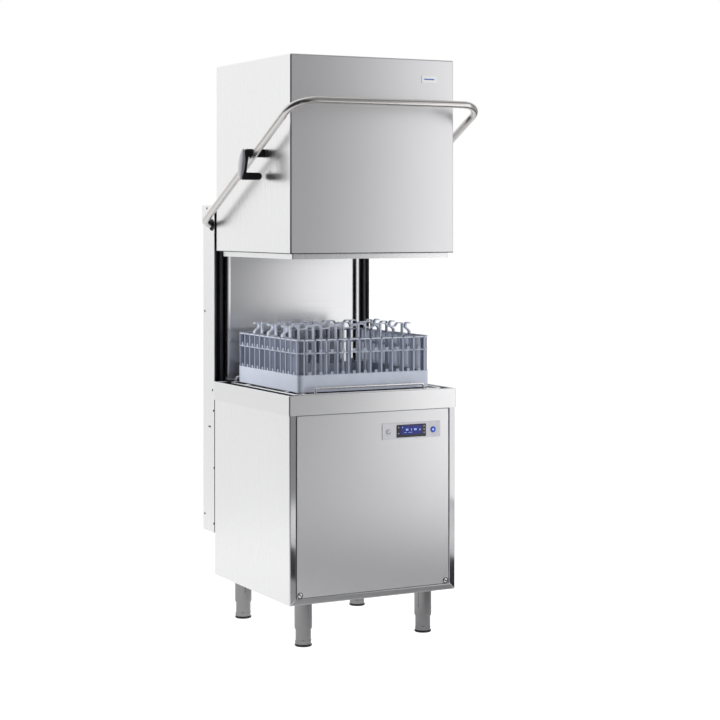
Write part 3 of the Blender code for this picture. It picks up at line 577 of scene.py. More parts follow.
def make_floor():
    """Floor that the camera sees as plain white; the steel sees it darker towards the front."""
    def build(work):
        bmesh.ops.create_grid(work, x_segments=1, y_segments=1, size=40.0)
    floor = mesh_object("floor", build)
    floor.location.z = -0.0002
    material, tree, shader = start_material("studio_floor")
    spot = tree.nodes.new("ShaderNodeTexCoord")
    dim = toward(tree, spot.outputs["Object"], Vector(ROOM_DARK_SIDE).normalized(), FLOOR_FADE)
    near = toward(tree, spot.outputs["Object"], (1.0, -1.0, 0.0), STRIP_FADE_IN)
    far = toward(tree, spot.outputs["Object"], (-1.0, 1.0, 0.0),
                 tuple(-edge for edge in reversed(STRIP_FADE_OUT)))
    close = toward(tree, spot.outputs["Object"], (1.0, -1.0, 0.0), NEAR_FADE_IN)
    gap = toward(tree, spot.outputs["Object"], ROOM_GAP_SIDE, FLOOR_GAP_FADE)
    tint = tinted(tree, gap, blended(tree, dim, FLOOR_PALE, FLOOR_DIM), ROOM_GAP)
    for start, colour in ((close, FLOOR_NEAR), (near, ROOM_GAP)):
        band = tree.nodes.new("ShaderNodeMath")
        band.operation = "MULTIPLY"
        tree.links.new(start, band.inputs[0])
        tree.links.new(far, band.inputs[1])
        tint = tinted(tree, band.outputs[0], tint, colour)
    tree.links.new(tint, shader.inputs["Base Color"])
    shader.inputs["Roughness"].default_value = 0.8
    shader.inputs["Specular IOR Level"].default_value = 0.0
    seen = tree.nodes.new("ShaderNodeLightPath")
    lit = tinted(tree, gap, blended(tree, dim, FLOOR_GLOW, (0.0, 0.0, 0.0)), (0.0, 0.0, 0.0))
    glow = tinted(tree, seen.outputs["Is Camera Ray"], lit, (1.0, 1.0, 1.0))
    tree.links.new(glow, shader.inputs["Emission Color"])
    shader.inputs["Emission Strength"].default_value = 1.0
    floor.data.materials.append(material)
    bpy.context.scene.collection.objects.link(floor)


def make_lights():
    soft_box("right_light", (1.75, -1.85, 1.45), (0.3, -0.3, 1.39), 1.5, 2.64, 12.0)
    key = soft_box("left_key", (-1.9, 1.7, 1.16), (-0.25, 0.1, 0.98), 1.1, 0.7, 58.0)
    key.visible_glossy = False
    fill = soft_box("front_fill", (1.3, -3.2, 1.3), (0.0, 0.0, 1.0), 1.4, 1.4, 52.0)
    fill.visible_glossy = False
    bpy.context.scene.view_settings.view_transform = "Standard"


# ---------------------------------------------------------------- cabinet
FLANGE = 0.0235
BEND = 0.0040
EDGE_STRIP = 0.0004
BUTTON_HOLE_R = 0.0110
LOCK_HOLE_R = 0.0050
LOCK_SLOT_TURN = 0.7


def make_cabinet_sides():
    """Side sheets with the front flange folded in and mitred at its foot, and its bright face."""
    for hand, sign in HANDS:
        outer = HALF - SHEET / 2
        face = FRONT_Y + SHEET / 2
        rear = high("side_panel_" + hand).y
        line = rounded([(sign * outer, rear), (sign * outer, face),
                        (sign * (HALF - FLANGE), face), (sign * (HALF - FLANGE), face + 0.014)],
                       BEND)
        side = swept_sheet("cabinet_side_" + hand, line, "z", CABINET_LOW, CABINET_HIGH)
        for vert in side.data.vertices:
            if vert.co.z < CABINET_LOW + SHEET and vert.co.y < face + 0.016:
                vert.co.z += max(0.0, HALF - BEND - abs(vert.co.x))
        piece(bevelled(side, 0.0003, 1), "machine", STEEL_SIDE, "side_steel", "side_panel_" + hand)
        front = swept_sheet("cabinet_flange_" + hand,
                            [(sign * (HALF - 0.0030), FRONT_Y - 0.0002),
                             (sign * (HALF - FLANGE + 0.0020), FRONT_Y - 0.0002)],
                            "z", CABINET_LOW, CABINET_HIGH - 0.0005, EDGE_STRIP)
        for vert in front.data.vertices:
            if vert.co.z < CABINET_LOW + SHEET:
                vert.co.z += HALF - abs(vert.co.x) + 0.0010
        piece(front, "machine", STEEL_EDGE, "side_steel")


def make_lower_flange():
    """Bottom flange of the cabinet's front, folded back top and bottom, its ends mitred."""
    face = FRONT_Y + SHEET / 2
    foot = CABINET_LOW + SHEET / 2
    top = high("front_bottom_rail").z
    reach = high("front_bottom_rail").x
    line = rounded([(face + 0.020, foot), (face, foot), (face, top), (face + 0.014, top)], BEND)
    rail = swept_sheet("front_lower_flange", line, "x", -reach, reach)
    for vert in rail.data.vertices:
        vert.co.x -= math.copysign(vert.co.z - CABINET_LOW, vert.co.x)
    piece(bevelled(rail, 0.0003, 1), "machine", STEEL_LIP, "front_steel", "front_bottom_rail")


def shaft_holes():
    """Cutters for the places where the buttons and the locks pass through the front panel."""
    face = low("front_panel").y
    holes = []
    for node, radius in (("power_button", BUTTON_HOLE_R), ("start_button", BUTTON_HOLE_R),
                         ("panel_lock_left", LOCK_HOLE_R), ("panel_lock_right", LOCK_HOLE_R)):
        spot = centre_of(node)
        holes.append(hole_cutter(radius, 0.02, (spot.x, face, spot.z), "y"))
    return holes


def make_service_panel():
    """Removable front panel: a shallow pan with bent edges, over a black sheet that paints the
    shade in the gap round it.
    """
    first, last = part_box("front_panel")
    side_gap = 0.0026
    end_gap = 0.0010
    panel = open_box("service_panel", (first.x + side_gap, first.y, first.z + end_gap),
                     (last.x - side_gap, last.y, last.z - end_gap), lambda facing: facing.y > 0.9)
    bevelled(panel, 0.0008, 3)
    thicken(panel, SHEET, -1.0)
    piece(cut(panel, *shaft_holes()), "machine", STEEL_FRONT, "front_steel", "front_panel")
    # Black sheet behind the panel, a little larger than it: painted shade in the gap round the
    # panel.
    outer = rectangle(last.x - first.x + 0.004, last.z - first.z + 0.003)
    gap_shade = flat_plate("service_panel_gap_shade", outer, 0.0010,
                      (0, first.y + 0.0040, (first.z + last.z) / 2), "y")
    piece(cut(gap_shade, *shaft_holes()), "machine", BLACK, "black_plastic")


def make_panel_locks():
    """Quarter-turn fasteners: a dark dished ring and a turning head with a crooked dark bar,
    painted shade for its slot.
    """
    for hand, _ in HANDS:
        centre = centre_of("panel_lock_" + hand)
        centre.y = low("front_panel").y
        ring = lathe("lock_ring_" + hand, [(0.0104, -0.0001), (0.0104, -0.0008), (0.0096, -0.0015),
                                           (0.0084, -0.0015), (0.0080, -0.0005), (0.0080, -0.0001)],
                     centre, "y")
        piece(ring, "machine", LOCK_METAL, "tube_steel")
        head = lathe("lock_head_" + hand, [(0.0, -0.0022), (0.0052, -0.0022), (0.0066, -0.0017),
                                           (0.0075, -0.0009), (0.0075, -0.0002), (0.0040, -0.0002),
                                           (0.0040, 0.0185), (0.0, 0.0185)], centre, "y")
        piece(head, "panel_lock_" + hand, STEEL_WIRE, "tube_steel", "panel_lock_" + hand)
        # A dark bar laid on the head's face: painted shade standing in for the slot.
        slot = block("lock_slot_shade_" + hand, (-0.0056, -0.0024, -0.0013), (0.0056, -0.0016, 0.0013),
                     0.0003)
        slot.data.transform(Matrix.Translation(centre) @ Matrix.Rotation(LOCK_SLOT_TURN, 4, "Y"))
        piece(slot, "panel_lock_" + hand, LOCK_METAL, "tube_steel")


def make_rim():
    """Band round the cabinet's top: rolled edges, a flat top and a drop into the tank."""
    first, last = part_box("rim_frame")
    top_width = 0.0075
    drop = 0.0235
    roll = 0.0026
    corner = 0.0045
    middle_y = (first.y + last.y) / 2
    deep_half = (last.y - first.y) / 2
    half_sheet = 0.00075
    band = rounded([(half_sheet, first.z), (half_sheet, last.z - half_sheet),
                    (top_width, last.z - half_sheet), (top_width, last.z - 0.006)], roll)
    inside = [(top_width, last.z - 0.006), (top_width, last.z - drop)]

    def loops(work, section):
        rings = []
        for inset, height in section:
            outline = rectangle(2 * (last.x - inset), 2 * (deep_half - inset),
                                max(0.0006, corner - inset), 6)
            rings.append([work.verts.new((x, middle_y + y, height)) for x, y in outline])
        join_rings(work, rings)

    rim = mesh_object("cabinet_rim", lambda work: loops(work, band))
    thicken(rim, 2 * half_sheet)
    piece(bevelled(rim, 0.0007, 2), "machine", STEEL_RIM, "rim_steel", "rim_frame")
    # The drop into the tank gets the near-black tank steel: painted shade inside the rim.
    edge = mesh_object("cabinet_rim_drop", lambda work: loops(work, inside))
    thicken(edge, 2 * half_sheet)
    piece(edge, "machine", STEEL_TANK_SHADE, "rim_steel")


def make_feet():
    """Adjustable feet: sleeve, inner tube with a hexagon for the spanner, and a rubber sole."""
    for place in ("front_left", "front_right", "rear_left", "rear_right"):
        leg = "leg_" + place
        foot = "foot_" + place
        top = high(leg).z
        spot = (centre_of(leg).x, centre_of(leg).y, 0.0)
        sleeve = lathe("leg_sleeve_" + place, [
            (0.0268, top), (0.0300, top), (0.0300, 0.0640), (0.0297, 0.0615),
            (0.0288, 0.0590), (0.0282, 0.0570), (0.0268, 0.0570)], spot)
        piece(sleeve, "machine", STEEL_FOOT, "foot_steel", leg)
        stem = lathe("foot_stem_" + place, [
            (0.0, 0.1450), (0.0250, 0.1450), (0.0264, 0.1436), (0.0264, 0.0240),
            (0.0262, 0.0225), (0.0262, 0.0060), (0.0, 0.0060)], spot)
        piece(stem, foot, STEEL_FOOT, "foot_steel", foot)
        hexagon = lathe("foot_hexagon_" + place, [
            (0.0, 0.0232), (0.0272, 0.0232), (0.0306, 0.0206), (0.0306, 0.0082),
            (0.0290, 0.0062), (0.0, 0.0062)], spot, "z", 6, 20.0)
        piece(hexagon, foot, STEEL_FOOT, "foot_steel")
        sole = lathe("foot_sole_" + place, [
            (0.0, 0.0062), (0.0284, 0.0062), (0.0292, 0.0055), (0.0294, 0.0040),
            (0.0288, 0.0012), (0.0274, 0.0), (0.0, 0.0)], spot)
        piece(sole, foot, RUBBER, "black_plastic")


# ---------------------------------------------------------------- controls
WELL_R = 0.0107
CRESCENT_R = 0.0058


def front_plate(name, node, radius, thickness):
    """A plate with rounded corners over a node's front face."""
    first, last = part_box(node)
    middle = centre_of(node)
    return flat_plate(name, rectangle(last.x - first.x, last.z - first.z, radius), thickness,
                      (middle.x, first.y + thickness / 2, middle.z), "y")


def make_controls():
    """Pearl strip flush with the panel, display window with a lit screen, and two buttons."""
    strip = front_plate("control_fascia", "control_strip", 0.0022, 0.0030)
    face = low("control_strip").y
    wells = [hole_cutter(WELL_R, 0.004, (centre_of(node).x, face, centre_of(node).z), "y")
             for node in ("power_button", "start_button")]
    piece(bevelled(cut(strip, *wells), 0.0005, 2), "machine", PEARL, "control_plastic",
          "control_strip")
    window = front_plate("display_glass", "display_window", 0.0024, 0.0032)
    piece(bevelled(window, 0.0007, 3), "machine", GLOSS_BLACK, "display_plastic", "display_window")
    make_screen()
    make_buttons()


def make_screen():
    """Screen with a generic read-out: uneven bars, a progress line and five small symbols."""
    first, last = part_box("display_window")
    middle = centre_of("display_window")
    wide = last.x - first.x
    tall = last.z - first.z
    face = first.y
    screen = flat_plate("display_screen", rectangle(wide * 0.72, tall * 0.70, 0.0010), 0.0003,
                        (middle.x - wide * 0.005, face - 0.0001, middle.z + tall * 0.06), "y")
    piece(screen, "machine", SCREEN_BLUE, "display_plastic")

    def bar(work, x, z, width, height):
        at = Vector((middle.x + x * wide, face - 0.00035, middle.z + z * tall))
        fill_box(work, at - Vector((width / 2, 0.0001, height / 2)),
                 at + Vector((width / 2, 0.0001, height / 2)))

    def build_readout(work):
        for x, width in ((-0.17, 0.0042), (-0.125, 0.0042), (0.0, 0.0026), (0.11, 0.0042),
                         (0.155, 0.0042)):
            bar(work, x, 0.09, width, 0.0064)
        for x, width in ((-0.20, 0.0100), (-0.04, 0.0150)):
            bar(work, x, -0.13, width, 0.0012)
        bar(work, -0.30, 0.28, 0.0036, 0.0036)
        bar(work, 0.29, 0.05, 0.0040, 0.0050)

    def build_icons(work):
        for x, z in ((-0.43, 0.30), (-0.43, -0.18), (0.43, 0.32), (0.43, 0.06), (0.43, -0.20)):
            bar(work, x, z, 0.0030, 0.0034)

    piece(bevelled(mesh_object("display_readout", build_readout), 0.0006, 2), "machine",
          SCREEN_MARK, "display_plastic")
    piece(bevelled(mesh_object("display_symbols", build_icons), 0.0008, 2), "machine",
          ICON_MARK, "display_plastic")


def make_buttons():
    """Push buttons: a wide cap in its well, one with a crescent mark, one blue with a lit dot."""
    for name, material, slot_name in (("power_button", PEARL, "control_plastic"),
                                      ("start_button", BUTTON_BLUE, "blue_plastic")):
        centre = centre_of(name)
        centre.y = low(name).y
        cap = lathe(name + "_cap", [(0.0, 0.0004), (0.0040, 0.0003), (0.0055, 0.0), (0.0088, 0.0),
                                    (0.0098, 0.0004), (0.0102, 0.0012), (0.0102, 0.0032),
                                    (0.0088, 0.0036), (0.0088, 0.0120), (0.0, 0.0120)],
                    centre, "y")
        piece(cap, name, material, slot_name, name)
        if name == "start_button":
            dot = lathe("start_button_light", [(0.0, -0.0001), (0.0030, 0.0), (0.0038, 0.0004),
                                               (0.0, 0.0006)], centre, "y")
            piece(dot, name, ICON_MARK, slot_name)
            continue
        ring = [(x, centre.y - 0.0001, z) for x, z in
                arc((centre.x, centre.z), CRESCENT_R, 65, 355, 21)]
        crescent = mesh_object("power_button_mark",
                               lambda work: sweep_tube(work, ring, 0.0008, 8))
        piece(crescent, name, STEEL_SCREW, slot_name)


# ---------------------------------------------------------------- column
CABINET_DEPTH = 0.627
COLUMN_FRONT = 0.634
SPLASH_DEPTH = 0.640
PIPE_HEIGHT = 1.375
TAB_LOW = 1.413
PLATE = 0.0015
BEARING_HOLE_R = 0.0188
PIPE_HOLE_R = 0.0166
GROOVE_X = 0.2945
SCREW_RISE = 0.0014
PLATE_SCREWS = ((0.640, 0.742), (0.635, 0.536), (0.637, 0.334), (0.701, 1.475), (0.649, 0.816),
                (0.720, 1.10), (0.720, 0.36))
COVER_SCREW_HEIGHTS = (0.33, 0.70, 1.07, 1.455)


def make_column():
    """Flat side plates with the rear tab, the folded rear cover, and their screws."""
    top = high("column_plate_left").z
    foot = low("column_plate_left").z
    front = low("column_plate_left").y
    rear = high("column_cover").y
    tab_rear = high("column_plate_left").y
    pivot = centre_of("handle_bearing_left")
    for hand, sign in HANDS:
        outline = [(front, foot), (rear, foot), (rear, TAB_LOW), (tab_rear, TAB_LOW + 0.010),
                   (tab_rear, top), (front, top)]
        wall = flat_plate("column_side_" + hand, rounded(outline, 0.0025, True, 3), PLATE,
                          (sign * (HALF - PLATE / 2), 0, 0), "x")
        hole = hole_cutter(BEARING_HOLE_R, 0.02, (sign * HALF, pivot.y, pivot.z), "x")
        piece(bevelled(cut(wall, hole), 0.0004, 2), "machine", STEEL_SIDE, "side_steel",
              "column_plate_" + hand)

        def build(work, side=sign):
            for depth, height in PLATE_SCREWS:
                screw_head(work, (side * HALF, deep(depth), height), (side, 0, 0), 0.0044,
                           SCREW_RISE)
        piece(mesh_object("column_screws_" + hand, build), "machine", STEEL_SCREW, "side_steel")
        catch = flat_plate("column_catch_" + hand, rectangle(0.020, 0.0060, 0.0028), 0.0016,
                           (sign * (HALF + 0.0005), deep(0.675), 0.682), "x")
        piece(bevelled(catch, 0.0005, 2), "machine", STEEL_SCREW, "side_steel")
    make_column_cover()


def make_column_cover():
    """Rear cover, folded forward at its foot and its top, with its screws."""
    first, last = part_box("column_cover")
    back = last.y - SHEET / 2
    ledge = low("column_plate_left").z + SHEET / 2
    top = last.z - SHEET / 2
    front = deep(COLUMN_FRONT)
    wall = deep(CABINET_DEPTH - 0.0008)
    line = rounded([(wall, first.z), (wall, ledge), (back, ledge), (back, top), (front, top)], BEND)
    cover = swept_sheet("column_rear_cover", line, "x", first.x, last.x)
    piece(bevelled(cover, 0.0003, 1), "machine", STEEL_SIDE, "side_steel", "column_cover")

    def build(work):
        for height in COVER_SCREW_HEIGHTS:
            for x in (first.x + 0.016, last.x - 0.016):
                screw_head(work, (x, last.y, height), (0, 1, 0), 0.0042, SCREW_RISE)
    piece(mesh_object("rear_cover_screws", build), "machine", STEEL_SCREW, "side_steel")


def make_bearings():
    """Black cups that the handle's ends turn in."""
    for hand, sign in HANDS:
        spot = centre_of("handle_bearing_" + hand)
        spot.x = sign * HALF
        profile = [(0.0168, 0.0030), (0.0190, 0.0030), (0.0208, 0.0022), (0.0216, 0.0008),
                   (0.0216, 0.0003), (0.0184, 0.0003), (0.0184, -0.0365), (0.0129, -0.0365),
                   (0.0129, -0.0240), (0.0160, -0.0200)]
        cup = lathe("handle_bushing_" + hand, [(r, sign * h) for r, h in profile], spot, "x")
        piece(cup, "machine", BLACK, "black_plastic", "handle_bearing_" + hand)


def make_rails():
    """Black guide rails: two rounded ribs with a groove between them."""
    for hand, sign in HANDS:
        first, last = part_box("guide_rail_" + hand)
        near, far = (last.x, first.x) if sign < 0 else (first.x, last.x)
        groove = sign * GROOVE_X
        rib = 0.0045
        line = []
        for start, end in ((near, groove - sign * 0.006), (groove + sign * 0.006, far)):
            line += rounded([(start, last.y), (start, first.y), (end, first.y),
                             (end, first.y + 0.018)], rib, False, 6)
        line.append((far, last.y))
        rail = flat_plate("rail_" + hand, line, last.z - first.z,
                          (0, 0, (first.z + last.z) / 2), "z")
        piece(rail, "machine", BLACK_RAIL, "black_plastic", "guide_rail_" + hand)


def make_splash_wall():
    """Back of the wash space: a flat sheet with a flange at each side and a drip lip."""
    first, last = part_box("back_panel")
    wall = deep(SPLASH_DEPTH)
    line = rounded([(first.y, first.z + SHEET / 2), (wall, first.z + SHEET / 2), (wall, last.z)],
                   0.006)
    sheet = swept_sheet("splash_wall", line, "x", first.x, last.x)
    hole = hole_cutter(PIPE_HOLE_R, 0.03, (0.0, wall, PIPE_HEIGHT), "y")
    piece(cut(sheet, hole), "machine", STEEL_INNER, "inner_steel", "back_panel")
    for hand, sign in HANDS:
        edge = sign * (last.x - SHEET / 2)
        strip = swept_sheet("splash_edge_" + hand, rounded(
            [(edge, wall - 0.001), (edge, wall - 0.014), (edge - sign * 0.012, wall - 0.014)],
            0.002), "z", first.z + 0.010, last.z - 0.080)
        piece(strip, "machine", STEEL_INNER, "inner_steel")


# ---------------------------------------------------------------- hood
HOOD_EDGE = 0.0052
DOORWAY_INSET = 0.036
DOORWAY_TOP = 1.875
BADGE_X = 0.217
BADGE_Z = 1.917
ARM_THICK = 0.0275
PIN_DEPTH = 0.172
PIN_HEIGHT = 1.596


def make_hood():
    """Outer skin with softly bent edges and an open rear, edge strip, inner skirt and badge."""
    first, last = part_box("hood_shell")
    skin = open_box("hood_skin", first, last, lambda facing: facing.z < -0.9)
    bevelled(skin, HOOD_EDGE, 6)
    thicken(skin, SHEET, -1.0)
    doorway = mesh_object("doorway", lambda work: fill_box(
        work, (first.x + DOORWAY_INSET, last.y - 0.03, first.z - 0.05),
        (last.x - DOORWAY_INSET, last.y + 0.03, DOORWAY_TOP)))
    piece(cut(skin, doorway), "hood", STEEL_FRONT, "front_steel", "hood_shell")
    sides = skin.data
    sides.materials.append(STEEL_SIDE)
    for face in sides.polygons:
        if abs(face.normal.x) > 0.75 or abs(face.normal.z) > 0.75:
            face.material_index = 1
    make_hood_edge(first, last)
    first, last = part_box("hood_liner")
    liner = open_box("hood_skirt", first, last, lambda facing: facing.z < -0.9 or facing.y > 0.9)
    bevelled(liner, 0.003, 4)
    thicken(liner, 0.0010, -1.0)
    piece(liner, "hood", STEEL_SIDE, "inner_steel", "hood_liner")
    make_badge()


def make_hood_edge(first, last):
    """Black strip under the hood's lower edge, open at the rear: painted shade for the shadowed gap
    at that edge.
    """
    inset = 0.0010
    line = rounded([(first.x + inset, last.y - 0.02), (first.x + inset, first.y + inset),
                    (last.x - inset, first.y + inset), (last.x - inset, last.y - 0.02)], 0.003)
    # Painted shade: a black strip for the dark gap under the hood's edge.
    strip = swept_sheet("hood_edge_shade_strip", line, "z", first.z - 0.0022, first.z + 0.0005, 0.0022)
    piece(strip, "hood", BLACK, "black_plastic")


def make_badge():
    """Small blank plate, top right of the hood's front, with a plain blue line."""
    centre = Vector((BADGE_X, low("hood_shell").y, BADGE_Z))
    plate = flat_plate("hood_badge", rectangle(0.062, 0.025, 0.003), 0.0012,
                       centre - Vector((0, 0.0005, 0)), "y")
    piece(bevelled(plate, 0.0004, 2), "hood", STEEL_RIM, "front_steel")
    line = flat_plate("hood_badge_line", rectangle(0.040, 0.0045, 0.0018), 0.0004,
                      centre - Vector((0.002, 0.0013, 0)), "y")
    piece(line, "hood", BADGE_BLUE, "blue_plastic")


def make_stirrups():
    """Black stirrups on the hood's sides, each with a silver-grey almond on its outer wall."""
    for hand, sign in HANDS:
        first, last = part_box("link_bracket_" + hand)
        wide = 0.020
        nose = arc((sign * (HALF + 0.0190), first.z + 0.0125), 0.0125, 90, 90 + sign * 180, 14)
        outline = [(sign * (HALF + 0.0760), first.z), (sign * (HALF + 0.0640), last.z),
                   (sign * (HALF + 0.0500), last.z), (sign * (HALF + 0.0560), last.z - 0.024),
                   (sign * (HALF + 0.0640), first.z + 0.025)]
        middle = first.y + wide / 2
        frame_piece = flat_plate("stirrup_" + hand, outline + nose, wide, (0, middle, 0), "y")
        piece(bevelled(frame_piece, 0.0026, 3), "hood", BLACK, "black_plastic",
              "link_bracket_" + hand)
        ends = sorted((sign * (HALF - 0.0035), sign * (HALF + 0.0560)))
        top_arm = block("stirrup_arm_" + hand, (ends[0], first.y, last.z - ARM_THICK),
                        (ends[1], first.y + 0.030, last.z), 0.0024)
        piece(top_arm, "hood", BLACK, "black_plastic")
        pin = lathe("stirrup_screw_" + hand, [(0.0, 0.0), (0.0030, 0.0), (0.0045, -0.0010),
                                              (0.0050, -0.0030), (0.0, -0.0030)],
                    (sign * (HALF - 0.0010), deep(PIN_DEPTH), PIN_HEIGHT), "x", 24)
        piece(pin, "hood", STEEL_WIRE, "front_steel")
        make_cover(hand, sign)


def make_cover(hand, sign):
    """Almond-shaped cover: pointed at both ends, leaning with the wall it sits on."""
    first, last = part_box("link_cover_" + hand)
    middle = Vector((sign * (HALF + 0.0762), (first.y + last.y) / 2 - 0.006,
                     (first.z + last.z) / 2))
    tall = (last.z - first.z) / 2 + 0.002
    lean = -0.0060
    rows = 30
    sides = 28

    def build(work):
        rings = []
        for i in range(rows + 1):
            rise = math.sin(math.pi * (i / rows - 0.5))
            size = max(0.0, 1 - rise ** 2) ** 0.62
            centre = middle + Vector((sign * lean * rise, 0, tall * rise))
            if i in (0, rows):
                rings.append([work.verts.new(centre)])
                continue
            ring = []
            for k in range(sides):
                angle = 2 * math.pi * k / sides
                out = math.copysign(abs(math.cos(angle)) ** 0.85, math.cos(angle))
                ring.append(work.verts.new(centre + size * Vector((0.0082 * out,
                                                                  0.0215 * math.sin(angle), 0))))
            rings.append(ring)
        join_rings(work, rings)
    piece(mesh_object("stirrup_cover_" + hand, build, 60.0), "hood", COVER_GREY, "cover_plastic",
          "link_cover_" + hand)


# ---------------------------------------------------------------- handle
TUBE_R = 0.0125
HANDLE_REACH = 0.1194
HANDLE_SIDE = 0.038
HANDLE_TOP = 1.8248
HANDLE_SLOPE = math.atan(0.529)
HANDLE_BEND = 0.079
HANDLE_END_BEND = 0.050
PIVOT_DEPTH = 0.656


def handle_path():
    """Half of the handle's centre line, from the middle of its bar to its inner end."""
    outer = HALF + HANDLE_SIDE
    arm = (PIVOT_DEPTH + HANDLE_REACH) / math.cos(HANDLE_SLOPE)
    plan = [(0.0, 0.0), (0.10, 0.0), (0.20, 0.0)]
    plan += arc((outer - HANDLE_BEND, HANDLE_BEND), HANDLE_BEND, -90, 0, 20)
    plan += [(outer, arm * share) for share in (0.25, 0.4, 0.55, 0.7, 0.85)]
    plan += arc((outer - HANDLE_END_BEND, arm - HANDLE_END_BEND), HANDLE_END_BEND, 0, 90, 16)
    plan += [(HALF - 0.0465, arm)]
    return [(x, deep(-HANDLE_REACH + run * math.cos(HANDLE_SLOPE)),
             HANDLE_TOP - run * math.sin(HANDLE_SLOPE)) for x, run in plan]


def make_handle():
    right = handle_path()
    left = [(-x, y, z) for x, y, z in right[:0:-1]]
    tube = mesh_object("pull_handle", lambda work: sweep_tube(work, left + right, TUBE_R, 32))
    piece(tube, "handle", STEEL_TUBE, "tube_steel", "handle_tube")


# ---------------------------------------------------------------- rack and its guide
RACK_BOTTOM = low("rack").z
RAIL_DEPTH = 0.028
RAIL_RISE = 0.0165
RAIL_HALVES = (0.206, 0.255)


def make_rack_guide():
    """Bright wire frame on short feet, with cross wires and a raised rail front and rear."""
    first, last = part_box("rack_guide")
    wire = 0.0035
    level = RACK_BOTTOM - 0.0003 - wire
    left, right = first.x + wire, last.x - wire
    front, rear = deep(RAIL_DEPTH), last.y - wire - 0.0015
    foot = first.z
    lift = RACK_BOTTOM + RAIL_RISE
    middle_y = (front + rear) / 2

    def build(work):
        sweep_tube(work, bent_path([(0, front, level), (left, front, level), (left, rear, level),
                                    (right, rear, level), (right, front, level),
                                    (0.001, front, level)], 0.018), wire, 14)
        for y in (-0.16, 0.16):
            sweep_tube(work, [(left, middle_y + y, level), (0, middle_y + y, level),
                              (right, middle_y + y, level)], wire * 0.97, 12)
        for x in (-0.24, 0.24):
            sweep_tube(work, [(x, front, level), (x, middle_y, level), (x, rear, level)],
                       wire * 0.94, 12)
            for y in (-0.20, 0.20):
                sweep_tube(work, [(x, middle_y + y, foot), (x, middle_y + y, level)],
                           wire * 0.97, 12)
        for y, half in zip((front, rear), RAIL_HALVES):
            sweep_tube(work, bent_path([(-half - 0.004, y, level), (-half, y, lift), (0, y, lift),
                                        (half, y, lift), (half + 0.004, y, level)], 0.009),
                       wire * 1.1, 12)
    piece(mesh_object("rack_wire_guide", build, 60.0), "machine", STEEL_WIRE, "wire_steel",
          "rack_guide")


RACK_BAYS = 11
RACK_BASE = 0.058
RACK_MID = 0.1325
WALL = 0.022


def quarter_turns(centre):
    """The turns about the rack's middle that place one side, or one corner, four times."""
    return [Matrix.Translation((0, centre, 0)) @ Matrix.Rotation(turn * math.pi / 2, 4, "Z")
            for turn in range(4)]


def ring_wall(work, half, inner, centre, z_low, z_high, corner):
    """Add a square ring wall with rounded corners, closed top and bottom."""
    def loop(reach, height, radius):
        return [work.verts.new((x, centre + y, height)) for x, y in
                rectangle(2 * reach, 2 * reach, radius, 8)]
    outer_low = loop(half, z_low, corner)
    outer_high = loop(half, z_high, corner)
    inner_low = loop(inner, z_low, max(0.003, corner - (half - inner)))
    inner_high = loop(inner, z_high, max(0.003, corner - (half - inner)))
    join_rings(work, [outer_low, outer_high, inner_high, inner_low, outer_low])


def make_rack():
    """Open crate: base band, ribbed posts, two rails, grid floor and the glass supports."""
    first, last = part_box("rack")
    centre = (first.y + last.y) / 2
    half = (last.x - first.x) / 2
    bottom = first.z
    top = last.z
    corner = 0.020
    pitch = 2 * (half - corner) / RACK_BAYS
    posts = [-half + corner + pitch * i for i in range(RACK_BAYS + 1)]

    def build_base(work):
        ring_wall(work, half, half - 0.003, centre, bottom, bottom + RACK_BASE, corner)
        ring_wall(work, half - WALL + 0.0025, half - WALL, centre, bottom + 0.004,
                  bottom + RACK_BASE, corner)
        ring_wall(work, half, half - WALL, centre, bottom + RACK_BASE - 0.003,
                  bottom + RACK_BASE, corner)
        ring_wall(work, half + 0.0006, half - 0.001, centre, bottom + RACK_BASE - 0.0035,
                  bottom + RACK_BASE, corner)
    base = mesh_object("rack_base_band", build_base, 50.0)
    piece(bevelled(base, 0.0006, 1), "rack", RACK_BLUE, "rack_plastic", "rack")

    def build_rails(work):
        mid = bottom + RACK_MID
        ring_wall(work, half, half - 0.0035, centre, mid - 0.0035, mid + 0.0010, corner)
        ring_wall(work, half, half - 0.010, centre, mid - 0.0015, mid + 0.0005, corner)
        ring_wall(work, half, half - 0.0028, centre, top - 0.0065, top, corner)
        ring_wall(work, half, half - 0.0100, centre, top - 0.0022, top, corner)
    rails = mesh_object("rack_rails", build_rails, 50.0)
    piece(bevelled(rails, 0.0005, 1), "rack", RACK_BLUE, "rack_plastic")

    def build_posts(work):
        low_z = bottom + RACK_BASE - 0.001
        high_z = top - 0.001
        for spin in quarter_turns(centre):
            made = []
            for index, x in enumerate(posts):
                start = len(work.verts)
                fill_box(work, (x - 0.0012, -half + 0.0010, low_z),
                         (x + 0.0012, -half + WALL, high_z))
                fill_box(work, (x - 0.0030, -half, low_z), (x + 0.0030, -half + 0.0022, high_z))
                if index < RACK_BAYS:
                    for height in (low_z, bottom + RACK_MID):
                        fill_box(work, (x + pitch / 2 - 0.006, -half + 0.0005, height),
                                 (x + pitch / 2 + 0.006, -half + 0.0025, height + 0.011))
                work.verts.ensure_lookup_table()
                made += work.verts[start:]
            bmesh.ops.transform(work, matrix=spin, verts=made)
    # The posts take the darker rack plastic: painted shade between the ribs.
    post_piece = mesh_object("rack_posts", build_posts)
    piece(bevelled(post_piece, 0.0005, 1), "rack", RACK_POST_SHADE, "rack_plastic")
    make_rack_corners(half, centre, bottom, top)
    make_rack_floor(half, centre, bottom)
    make_glass_supports(half, centre, bottom, top)


